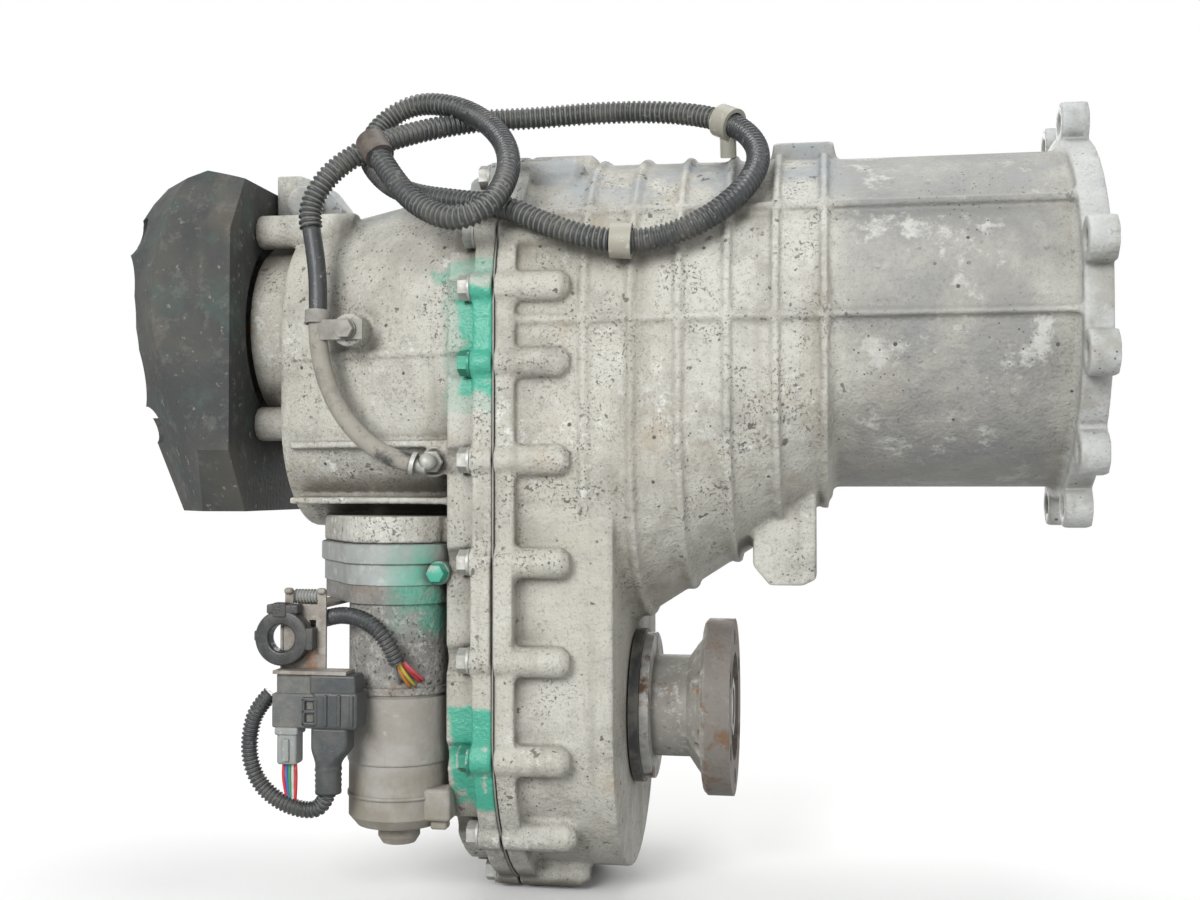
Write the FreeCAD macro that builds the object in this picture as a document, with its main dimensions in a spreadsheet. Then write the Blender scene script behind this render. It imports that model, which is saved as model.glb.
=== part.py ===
"""Chain-driven transfer case: a housing in two castings with a low-range planetary gear, a
multi-disc clutch, a chain drive down to the front output, a range servo, a rear mass damper
and a breather line.

Frame: the origin is the centre of the mating face that bolts to the gearbox. +X points to
the gearbox, +Z up, and the main shaft lies along X. Millimetres and degrees throughout.
"""
import FreeCAD, Part
import math
import os

import Sketcher
from FreeCAD import Placement, Rotation, Vector

DOC = FreeCAD.newDocument("transfer_case")

# ---------------------------------------------------------------- driving dimensions

DIMENSIONS = [
    # fits and clearances
    ("fit_clearance", 0.05, "radial clearance of a turned seat or a running shaft"),
    ("run_clearance", 0.4, "air between pieces that move past each other"),
    ("seat_gap", 0.3, "air between soft or loose pieces and what carries them"),
    ("bolt_clearance", 0.5, "radial clearance of a bolt in its hole"),
    # stations along the main shaft, measured back from the gearbox face
    ("bell_depth", 98, "depth of the open bell behind the gearbox face"),
    ("web_back", 108, "rear face of the bearing web"),
    ("ribbed_start", 150, "where the tube becomes the ribbed housing"),
    ("nose_face", 275, "front face of the chain housing"),
    ("parting", 343, "rear face of the front casting"),
    ("gasket_thickness", 0.8, "case gasket"),
    ("rear_wall", 490, "rear face of the rear cover's barrel"),
    ("nose_back", 515, "rear face of the rear cover's nose"),
    ("damper_back", 616, "rear end of the damper"),
    # gearbox flange and tube
    ("flange_thickness", 16, "gearbox flange"),
    ("flange_radius", 110, "gearbox flange between its lugs"),
    ("lug_radius", 13, "lug round each gearbox bolt"),
    ("gearbox_bolt_radius", 118, "radius of the gearbox bolt circle"),
    ("gearbox_hole_radius", 5.5, "gearbox bolt hole"),
    ("tube_radius", 102.5, "outside of the tube"),
    ("bell_radius", 88, "inside of the bell"),
    # housing section
    ("housing_radius", 104, "top of the ribbed housing"),
    ("housing_wall", 8, "wall of the castings"),
    ("housing_drop", 85, "depth of the flat side of the housing at the parting"),
    ("tube_drop", 6, "the same where the housing meets the tube"),
    ("rim_radius", 110, "outside of the parting flange"),
    ("rim_thickness", 12, "thickness of each parting flange"),
    ("chain_wall_radius", 100, "outside of the chain housing's wall"),
    ("output_drop", 242, "front output axis below the main shaft"),
    ("cover_drop", 34, "flat side of the rear cover at the parting"),
    ("scallop_radius", 9.5, "room round each case bolt's head"),
    ("barrel_radius", 68, "rear end of the cover's barrel"),
    ("barrel_drop", 60, "flat side of the barrel at its rear end"),
    ("cover_depth", 30, "depth of the chain housing behind the parting"),
    ("rib_height", 3, "height of the casting ribs"),
    ("rib_width", 4, "width of the casting ribs"),
    ("rib_first", 154.5, "first ring rib, behind the gearbox face"),
    ("rib_pitch", 27.4, "spacing of the ring ribs"),
    ("boss_radius", 9, "boss round each case bolt"),
    ("boss_length", 39, "length of the front casting's bolt bosses"),
    ("case_bolt_radius", 4, "case bolt shank"),
    ("bolt_inset", 5, "case bolt circle inside the rim"),
    # gears
    ("gear_module", 2, "module of the planetary gears"),
    ("planet_teeth", 12, "teeth of a planet gear"),
    ("sun_teeth", 36, "teeth of the sun gear"),
    ("gear_width", 30, "face width of the planetary gears"),
    ("pin_radius", 5, "planet pin"),
    ("plate_radius", 57, "planet carrier plates"),
    ("plate_thickness", 6, "planet carrier plates"),
    ("ring_rim", 12, "ring gear beyond its pitch circle"),
    # shafts
    ("input_radius", 25, "input shaft at its bearing"),
    ("socket_radius", 14, "input shaft's splined socket"),
    ("input_nose", 20, "input shaft's end behind the gearbox face"),
    ("main_radius", 20, "main shaft"),
    ("socket_depth", 55, "depth of the input shaft's socket"),
    ("pilot_radius", 12, "main shaft's pilot in the input shaft"),
    ("pilot_length", 15, "length of that pilot"),
    ("thread_radius", 14, "thread of the rear flange nut"),
    ("recess_radius", 34, "recess in the output flanges"),
    ("recess_depth", 9, "depth of that recess"),
    ("main_end", 552, "rear end of the main shaft"),
    ("front_shaft_radius", 22.5, "front output shaft at its bearing"),
    ("input_bearing_radius", 45, "outside of the input bearing"),
    ("bearing_width", 20, "width of the shaft bearings"),
    ("seal_width", 10, "width of the shaft seals"),
    ("seal_height", 11, "shaft seals, from the shaft to the housing"),
    ("rear_bearing_radius", 40, "outside of the rear bearing"),
    ("front_bearing_radius", 42.5, "outside of the front output bearing"),
    ("end_bearing_radius", 26, "outside of the front shaft's end bearing"),
    ("end_journal_radius", 12.5, "front shaft at its end bearing"),
    # clutch, sprockets and chain
    ("clutch_radius", 66, "outside of the clutch drum"),
    ("clutch_front", 222, "front of the clutch drum"),
    ("clutch_back", 292, "back of the clutch drum"),
    ("disc_thickness", 3, "clutch disc"),
    ("disc_count", 6, "number of clutch discs"),
    ("clutch_travel", 1.5, "travel of the clutch's pressure plate"),
    ("sprocket_teeth", 32, "teeth of both sprockets"),
    ("sprocket_radius", 69, "tip of the sprocket teeth"),
    ("sprocket_front", 306, "front face of the sprockets"),
    ("chain_width", 36, "width of the chain"),
    ("chain_thickness", 10, "thickness of the chain"),
    # range change
    ("rail_radius", 7, "shift rail"),
    ("rail_side", -15, "shift rail beside the main shaft"),
    ("rail_drop", 85, "shift rail below the main shaft"),
    ("rail_front", 122, "front end of the shift rail"),
    ("rail_back", 455, "rear end of the shift rail"),
    ("cam_throw", 9, "throw of the range cam's crank pin"),
    ("cam_swing", 80, "turn of the range cam from high to low"),
    ("sleeve_radius", 44, "outside of the range sleeve"),
    ("groove_radius", 37, "bottom of the range sleeve's groove"),
    # range servo
    ("servo_back", 408, "servo motor's axis behind the gearbox face"),
    ("servo_side", -80, "servo motor's axis beside the main shaft"),
    ("servo_top", 136, "top of the servo's gear housing, below the main shaft"),
    ("servo_plate", 35, "thickness of the servo's gear housing"),
    ("servo_radius", 30, "servo motor can"),
    ("servo_body_length", 53, "length of the servo's cast body"),
    ("servo_can_length", 79, "length of the servo's can"),
    ("servo_module", 2, "module of the servo's gears"),
    ("pinion_teeth", 9, "teeth of the servo's pinion"),
    ("wheel_teeth", 42, "teeth of the servo's output gear"),
    ("wheel_turn", 107, "bearing of the output gear seen from the pinion, from +X"),
    ("cam_radius", 8, "range cam's shaft"),
    # front output flange
    ("output_flange_face", 212, "front face of the output flange"),
    ("output_flange_radius", 55.5, "outside of the output flange"),
    ("output_flange_thickness", 18, "rim of the output flange"),
    ("hub_radius", 32, "hub of the output flange"),
    ("output_bolt_radius", 44, "bolt circle radius of both output flanges"),
    ("output_hole_radius", 5.25, "bolt hole of both output flanges"),
    ("seal_radius", 48.5, "front output seal"),
    # damper
    ("damper_bore", 64, "bore of the damper"),
    ("damper_half_width", 88, "half the width of the damper"),
    ("damper_bolt_side", 40, "damper bolts beside the main shaft"),
    ("damper_bolt_up", 62, "damper bolts above and below the main shaft"),
    # breather line
    ("hose_radius", 5.5, "breather hose"),
    ("conduit_radius", 7, "corrugated breather conduit"),
    ("wire_conduit_radius", 5, "corrugated conduit of the servo's wires"),
]

sheet = DOC.addObject("Spreadsheet::Sheet", "Sizes")
for row, (alias, number, meaning) in enumerate(DIMENSIONS, start=1):
    sheet.set(f"A{row}", meaning)
    sheet.set(f"B{row}", str(number))
    sheet.setAlias(f"B{row}", alias)
DOC.recompute()


class Dim:
    """A length worked out from the sheet: its number now, and the expression behind it."""

    def __init__(self, text, number):
        self.text, self.number = text, number

    @staticmethod
    def of(other):
        return other if isinstance(other, Dim) else Dim(f"({other})", float(other))

    def __add__(self, other):
        other = Dim.of(other)
        return Dim(f"({self.text} + {other.text})", self.number + other.number)

    def __sub__(self, other):
        other = Dim.of(other)
        return Dim(f"({self.text} - {other.text})", self.number - other.number)

    def __mul__(self, other):
        other = Dim.of(other)
        return Dim(f"({self.text} * {other.text})", self.number * other.number)

    def __truediv__(self, other):
        other = Dim.of(other)
        return Dim(f"({self.text} / {other.text})", self.number / other.number)

    def __neg__(self):
        return Dim(f"(0 - {self.text})", -self.number)

    def __radd__(self, other):
        return Dim.of(other) + self

    def __rsub__(self, other):
        return Dim.of(other) - self

    def __rmul__(self, other):
        return Dim.of(other) * self

    def __float__(self):
        return self.number


SIZE = {name: Dim(f"Sizes.{name}", float(sheet.get(name))) for name, _, _ in DIMENSIONS}


def size(name):
    """The named size from the sheet, ready to add, subtract and scale."""
    return SIZE[name]


def bind(thing, path, dim):
    """Drive one property of an object with an expression."""
    thing.setExpression(path, Dim.of(dim).text)


# ---------------------------------------------------------------- sketches and features


def new_body(label):
    body = DOC.addObject("PartDesign::Body", label)
    body.Label = label
    return body


def new_sketch(body, role, across=0, up=0, out=0):
    """A sketch on one of the body's own origin planes, shifted by sizes from the sheet."""
    sketch = body.newObject("Sketcher::SketchObject", body.Name + "_sketch")
    plane = [item for item in body.Origin.OriginFeatures if item.Role == role][0]
    sketch.AttachmentSupport = [(plane, "")]
    sketch.MapMode = "FlatFace"
    shift = [Dim.of(across), Dim.of(up), Dim.of(out)]
    sketch.AttachmentOffset = Placement(Vector(*[float(value) for value in shift]), Rotation())
    for name, value in zip("xyz", shift):
        bind(sketch, f"AttachmentOffset.Base.{name}", value)
    return sketch


def tie(sketch, kind, geometry, point, dim):
    """Hold one coordinate of a sketch point at a size from the sheet."""
    dim = Dim.of(dim)
    index = sketch.addConstraint(
        Sketcher.Constraint(kind, -1, 1, geometry, point, dim.number)
    )
    bind(sketch, f"Constraints[{index}]", dim)


def add_polygon(sketch, corners):
    """A closed outline whose corners are pairs of sizes."""
    corners = [(Dim.of(across), Dim.of(up)) for across, up in corners]
    spots = [Vector(float(across), float(up), 0) for across, up in corners]
    first = sketch.GeometryCount
    for start, end in zip(spots, spots[1:] + spots[:1]):
        sketch.addGeometry(Part.LineSegment(start, end))
    for number, (across, up) in enumerate(corners):
        before = first + (number - 1) % len(corners)
        sketch.addConstraint(
            Sketcher.Constraint("Coincident", before, 2, first + number, 1)
        )
        tie(sketch, "DistanceX", first + number, 1, across)
        tie(sketch, "DistanceY", first + number, 1, up)


def add_circle(sketch, across, up, radius):
    across, up, radius = Dim.of(across), Dim.of(up), Dim.of(radius)
    centre = Vector(float(across), float(up), 0)
    index = sketch.addGeometry(Part.Circle(centre, Vector(0, 0, 1), float(radius)))
    tie(sketch, "DistanceX", index, 3, across)
    tie(sketch, "DistanceY", index, 3, up)
    number = sketch.addConstraint(Sketcher.Constraint("Radius", index, radius.number))
    bind(sketch, f"Constraints[{number}]", radius)


def add_racetrack(sketch, radius, drop, top=0):
    """Two half circles of one radius, the lower one dropped, joined by upright sides."""
    radius, drop, top = Dim.of(radius), Dim.of(drop), Dim.of(top)
    high, low, wide = float(top), float(top) - float(drop), float(radius)
    axis = Vector(0, 0, 1)
    upper = Part.Circle(Vector(0, high, 0), axis, wide)
    lower = Part.Circle(Vector(0, low, 0), axis, wide)
    a = sketch.addGeometry(Part.ArcOfCircle(upper, 0, math.pi))
    b = sketch.addGeometry(Part.LineSegment(Vector(-wide, high, 0), Vector(-wide, low, 0)))
    c = sketch.addGeometry(Part.ArcOfCircle(lower, math.pi, 2 * math.pi))
    d = sketch.addGeometry(Part.LineSegment(Vector(wide, low, 0), Vector(wide, high, 0)))
    for one, end, other, start in ((a, 2, b, 1), (b, 2, c, 1), (c, 2, d, 1), (d, 2, a, 1)):
        sketch.addConstraint(Sketcher.Constraint("Tangent", one, end, other, start))
    sketch.addConstraint(Sketcher.Constraint("Vertical", b))
    for arc, height in ((a, top), (c, top - drop)):
        sketch.addConstraint(Sketcher.Constraint("PointOnObject", arc, 3, -2))
        tie(sketch, "DistanceY", arc, 3, height)
    number = sketch.addConstraint(Sketcher.Constraint("Radius", a, wide))
    bind(sketch, f"Constraints[{number}]", radius)


def feature(body, kind, sketch, length=None):
    item = body.newObject(f"PartDesign::{kind}", f"{body.Name}_{kind}")
    item.Profile = sketch
    if length is not None:
        item.Length = float(length)
        bind(item, "Length", length)
    item.Refine = False  # a refined casting turns invalid at some sizes
    sketch.Visibility = False
    return item


def pad_along_x(body, back, front, draw):
    """Material from x = -back to x = -front, with the section that draw() sketches."""
    sketch = new_sketch(body, "YZ_Plane", out=-Dim.of(back))
    draw(sketch)
    return feature(body, "Pad", sketch, Dim.of(back) - front)


def pocket_along_x(body, back, front, draw):
    """A hollow from x = -back to x = -front, cut rearwards from its front end."""
    sketch = new_sketch(body, "YZ_Plane", out=-Dim.of(front))
    draw(sketch)
    return feature(body, "Pocket", sketch, Dim.of(back) - front)


def pad_up(body, bottom, top, draw):
    """Material from z = bottom to z = top."""
    sketch = new_sketch(body, "XY_Plane", out=bottom)
    draw(sketch)
    return feature(body, "Pad", sketch, Dim.of(top) - bottom)


def pocket_down(body, bottom, top, draw):
    sketch = new_sketch(body, "XY_Plane", out=top)
    draw(sketch)
    return feature(body, "Pocket", sketch, Dim.of(top) - bottom)


def pad_outward(body, inner, outer, draw):
    """Material on the near side, from y = -inner to y = -outer."""
    sketch = new_sketch(body, "XZ_Plane", out=inner)
    draw(sketch)
    return feature(body, "Pad", sketch, Dim.of(outer) - inner)


def pocket_inward(body, inner, outer, draw):
    sketch = new_sketch(body, "XZ_Plane", out=outer)
    draw(sketch)
    return feature(body, "Pocket", sketch, Dim.of(outer) - inner)


def blend(body, kind, sections):
    """A loft through sections, each a distance back and a function that sketches it."""
    sketches = []
    for back, draw in sections:
        sketch = new_sketch(body, "YZ_Plane", out=-Dim.of(back))
        draw(sketch)
        sketch.Visibility = False
        sketches.append(sketch)
    loft = body.newObject(f"PartDesign::{kind}", f"{body.Name}_{kind}")
    loft.Profile = sketches[0]
    loft.Sections = sketches[1:]
    loft.Refine = False
    return loft


def spin(body, kind, corners, up=0):
    """A Revolution or a Groove about the line z = up; corners are (x, radius) pairs."""
    sketch = new_sketch(body, "XZ_Plane", up=up)
    add_polygon(sketch, corners)
    item = feature(body, kind, sketch)
    item.ReferenceAxis = (sketch, ["H_Axis"])
    item.Angle = 360
    return item


def turned(label, front, corners, up=0):
    """A piece turned about an axis along X. Corners are (distance back from its front
    face, radius) pairs, and the front face lies at x = -front."""
    body = new_body(label)
    spin(body, "Revolution", [(-Dim.of(back), radius) for back, radius in corners])
    bind(body, "Placement.Base.x", -Dim.of(front))
    bind(body, "Placement.Base.z", Dim.of(up))
    return body


def turned_upright(label, across, side, top, corners):
    """A piece turned about an upright axis. Corners are (radius, depth below its top)."""
    body = new_body(label)
    sketch = new_sketch(body, "XZ_Plane")
    add_polygon(sketch, [(radius, -Dim.of(depth)) for radius, depth in corners])
    item = feature(body, "Revolution", sketch)
    item.ReferenceAxis = (sketch, ["V_Axis"])
    item.Angle = 360
    for name, value in zip("xyz", (across, side, top)):
        bind(body, f"Placement.Base.{name}", Dim.of(value))
    return body


def ring(label, front, width, inner, outer, up=0):
    """A plain ring, such as a sealed bearing or a seal."""
    corners = [(0, inner), (0, outer), (width, outer), (width, inner)]
    return turned(label, front, corners, up)


def shaped(label, shape, x=0, y=0, z=0):
    """A piece whose shape is worked out here from the sheet's sizes."""
    item = DOC.addObject("Part::Feature", label)
    item.Label = label
    item.Shape = shape
    item.Placement = Placement(Vector(float(x), float(y), float(z)), Rotation())
    return item


def number(name):
    return float(size(name))


# ---------------------------------------------------------------- shared places

FIT = size("fit_clearance")
RUN = size("run_clearance")
SEAT = size("seat_gap")
COVER_FACE = size("parting") + size("gasket_thickness")
COVER_RIM_BACK = COVER_FACE + size("rim_thickness")
COVER_BACK = COVER_FACE + size("cover_depth")
CHAIN_CAVITY_RADIUS = size("chain_wall_radius") - size("housing_wall")
CHAIN_CAVITY_FRONT = size("nose_face") + size("housing_wall")
CHAIN_CAVITY_BACK = COVER_BACK - size("housing_wall")
INPUT_BEARING_FRONT = size("web_back") - size("bearing_width")
SEAL_WIDTH = size("seal_width")
GEAR_FRONT = size("web_back") + 10
GEAR_BACK = GEAR_FRONT + size("gear_width")
FRONT_BEARING_BACK = CHAIN_CAVITY_FRONT + size("bearing_width") - 1
REAR_BEARING_BACK = size("rear_wall") - 16
END_BEARING_FRONT = CHAIN_CAVITY_BACK - 14
SPROCKET_BACK = size("sprocket_front") + size("chain_width") + 2
SPIGOT_RADIUS = size("hub_radius") + 4
RANGE_TRAVEL = size("cam_throw") * 2 * math.sin(math.radians(number("cam_swing") / 2))
SERVO_X = -size("servo_back")
SERVO_CENTRES = size("servo_module") * (size("pinion_teeth") + size("wheel_teeth")) / 2
CAM_X = SERVO_X + SERVO_CENTRES * math.cos(math.radians(number("wheel_turn")))
CAM_Y = size("servo_side") + SERVO_CENTRES * math.sin(math.radians(number("wheel_turn")))


def bolt_spots():
    """Centres (y, z) of the case bolts round the parting flange."""
    radius = size("rim_radius") - size("bolt_inset")
    drop = size("output_drop")
    spots = []
    for angle in (26, 58, 90, 122, 154):
        turn = math.radians(angle)
        spots.append((radius * math.cos(turn), radius * math.sin(turn)))
    for share in (-0.055, 0.127, 0.36, 0.605, 0.84):
        spots.append((radius, -drop * share))
        spots.append((-radius, -drop * share))
    for angle in (190, 219, 251, 289, 321, 350):
        turn = math.radians(angle)
        spots.append((radius * math.cos(turn), radius * math.sin(turn) - drop))
    return spots


GEARBOX_ANGLES = (15, 75, 105, 165, 195, 225, 255, 285, 315, 345)


def gearbox_spots():
    """Centres (y, z) of the gearbox bolts: a ring of twelve without the upper two."""
    radius = size("gearbox_bolt_radius")
    turns = [math.radians(angle) for angle in GEARBOX_ANGLES]
    return [(radius * math.cos(turn), radius * math.sin(turn)) for turn in turns]


def plug_spots():
    """Centres (y, z) of the filler and drain plugs, beside and below the front output's axis."""
    return [(Dim.of(58), -size("output_drop") + 52), (Dim.of(40), -size("output_drop") - 63)]


def damper_spots():
    side, height = size("damper_bolt_side"), size("damper_bolt_up")
    return [(across * side, up * height) for across in (-1, 1) for up in (-1, 1)]


def circles(spots, radius):
    """A drawing function: one circle at each spot."""

    def draw(sketch):
        for across, up in spots:
            add_circle(sketch, across, up, radius)

    return draw


def band_corners(first, second):
    """The four points where the outer tangents touch two circles, each (across, up, radius)."""
    (x1, y1, r1), (x2, y2, r2) = first, second
    away = math.hypot(float(x2 - x1), float(y2 - y1))
    base = math.atan2(float(y2 - y1), float(x2 - x1))
    lean = math.acos(float(r1 - r2) / away)
    corners = []
    for x, y, r, side in ((x1, y1, r1, 1), (x1, y1, r1, -1), (x2, y2, r2, -1), (x2, y2, r2, 1)):
        turn = base + side * lean
        corners.append((x + r * math.cos(turn), y + r * math.sin(turn)))
    return corners


def racetrack(radius, drop):
    return lambda sketch: add_racetrack(sketch, radius, drop)


def polygon(corners):
    return lambda sketch: add_polygon(sketch, corners)


def rectangle(left, right, low, high):
    return polygon([(left, low), (right, low), (right, high), (left, high)])


# ---------------------------------------------------------------- front casting


def housing_drop_at(back):
    """Flat side of the ribbed housing at a distance behind the gearbox face."""
    share = (Dim.of(back) - size("ribbed_start")) / (size("nose_face") - size("ribbed_start"))
    return size("tube_drop") + (size("housing_drop") - size("tube_drop")) * share


def make_front_case():
    body = new_body("front_case")
    wall, drop = size("housing_wall"), size("output_drop")
    outer = size("housing_radius")
    centre = [(0, 0)]
    # gearbox flange, its lugs and the tube
    pad_along_x(body, size("flange_thickness"), 0, circles(centre, size("flange_radius")))
    lugs = circles(gearbox_spots(), size("lug_radius"))
    pad_along_x(body, size("flange_thickness"), 0, lugs)
    tube_back = size("ribbed_start") + 2
    pad_along_x(body, tube_back, 2, circles(centre, size("tube_radius")))
    # ribbed housing, deeper towards the chain
    wide = (size("nose_face"), racetrack(outer, size("housing_drop")))
    narrow = (size("ribbed_start"), racetrack(outer - 1, size("tube_drop")))
    blend(body, "AdditiveLoft", [wide, narrow])
    for count in range(6):
        back = size("rib_first") + size("rib_pitch") * count
        if float(back) > number("nose_face"):
            reach = size("housing_drop")
        else:
            reach = housing_drop_at(back)
        section = racetrack(outer + size("rib_height"), reach)
        pad_along_x(body, back + size("rib_width") / 2, back - size("rib_width") / 2, section)
    # lengthwise ribs along the tube and the housing
    reach = outer + size("rib_height")
    for angle in (34, -3):
        turn = math.radians(angle)
        across = -reach * math.cos(turn)
        up = reach * math.sin(turn)
        box = rectangle(across, across + 14, up - size("rib_width") / 2, up + size("rib_width") / 2)
        pad_along_x(body, size("parting"), size("flange_thickness") - 2, box)
    # chain housing, parting flange and bolt bosses
    pad_along_x(body, size("parting"), size("nose_face"), racetrack(size("chain_wall_radius"), drop))
    rim_front = size("parting") - size("rim_thickness")
    pad_along_x(body, size("parting"), rim_front, racetrack(size("rim_radius"), drop))
    upper = (size("parting"), racetrack(outer, size("housing_drop")))
    blend(body, "AdditiveLoft", [upper, wide])
    boss_front = size("parting") - size("boss_length")
    pad_along_x(body, size("parting"), boss_front, circles(bolt_spots(), size("boss_radius")))
    tips = pad_along_x(body, boss_front, boss_front - 5, circles(bolt_spots(), size("boss_radius")))
    tips.TaperAngle = -40
    # raised pad on the near side of the parting flange
    face = -size("parting")
    pad_outward(body, 100, 114, rectangle(face, face + size("rim_thickness"), -204, -146))
    # nose round the front output
    nose = circles([(0, -drop)], size("seal_radius") + 9)
    pad_along_x(body, size("nose_face") + 2, size("nose_face") - 0, nose)
    # lifting hump on the crown
    hump = [(-189, 92), (-145, 92), (-149, 113), (-186, 113)]
    pad_outward(body, -18, 18, polygon(hump))
    # mounting lug below the slope
    lug = [(-198, -100), (-160, -100), (-160, -158), (-168, -162), (-188, -162), (-198, -150)]
    pad_outward(body, 24, 46, polygon(lug))
    # hollows
    pocket_along_x(body, size("bell_depth"), 0, circles(centre, size("bell_radius")))
    mill = racetrack(CHAIN_CAVITY_RADIUS, drop)
    pocket_along_x(body, size("parting") + 1, CHAIN_CAVITY_FRONT, mill)
    inner = outer - wall
    deep = (size("parting") + 1, racetrack(inner, size("housing_drop")))
    level = (size("nose_face"), racetrack(inner, size("housing_drop")))
    shallow = (size("ribbed_start") + wall, racetrack(inner - 1, size("tube_drop")))
    blend(body, "SubtractiveLoft", [deep, level])
    blend(body, "SubtractiveLoft", [level, shallow])
    room = circles(centre, inner - 2)
    pocket_along_x(body, size("ribbed_start") + wall + 1, size("web_back"), room)
    # collar that holds the ring gear, and the rail's boss
    ring_out = ring_outer_radius() + FIT
    collar = circles(centre, ring_out + wall)
    pad_along_x(body, GEAR_BACK + 2, size("web_back") - 1, collar)
    rail_spot = [(size("rail_side"), -size("rail_drop"))]
    pad_along_x(body, GEAR_BACK + 2, size("web_back") - 1, circles(rail_spot, 12))
    # bearing boss in the bell and the bores along the main shaft
    seat = size("input_bearing_radius") + FIT
    bell = INPUT_BEARING_FRONT - SEAL_WIDTH
    pad_along_x(body, size("bell_depth") + 1, bell, circles(centre, seat + wall))
    spin(
        body,
        "Groove",
        [
            (-(GEAR_BACK + 3), 0),
            (-(GEAR_BACK + 3), ring_out),
            (-size("web_back"), ring_out),
            (-size("web_back"), seat),
            (-INPUT_BEARING_FRONT, seat),
            (-INPUT_BEARING_FRONT, size("input_radius") + size("seal_height") + FIT),
            (-(bell - 1), size("input_radius") + size("seal_height") + FIT),
            (-(bell - 1), 0),
        ],
    )
    pocket_along_x(body, GEAR_BACK + 3, size("web_back") + 2, circles(rail_spot, size("rail_radius") + FIT))
    # front output bearing: boss inside the chain housing, then its bore
    boss = circles([(0, -drop)], size("front_bearing_radius") + wall)
    pad_along_x(body, FRONT_BEARING_BACK, CHAIN_CAVITY_FRONT - 1, boss)
    seat = size("front_bearing_radius") + FIT
    spin(
        body,
        "Groove",
        [
            (-(FRONT_BEARING_BACK + 1), 0),
            (-(FRONT_BEARING_BACK + 1), seat),
            (-CHAIN_CAVITY_FRONT, seat),
            (-CHAIN_CAVITY_FRONT, SPIGOT_RADIUS + FIT),
            (-(size("nose_face") - 1), SPIGOT_RADIUS + FIT),
            (-(size("nose_face") - 1), 0),
        ],
        up=-drop,
    )
    # bolt holes
    tapped = circles(bolt_spots(), size("case_bolt_radius") + FIT)
    pocket_along_x(body, size("parting"), size("parting") - 30, tapped)
    through = circles(gearbox_spots(), size("gearbox_hole_radius"))
    pocket_along_x(body, size("flange_thickness") + 6, 0, through)
    return body


def ring_outer_radius():
    """Outside radius of the ring gear."""
    teeth = size("sun_teeth") + size("planet_teeth") * 2
    return size("gear_module") * teeth / 2 + size("ring_rim")


# ---------------------------------------------------------------- rear cover


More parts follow.
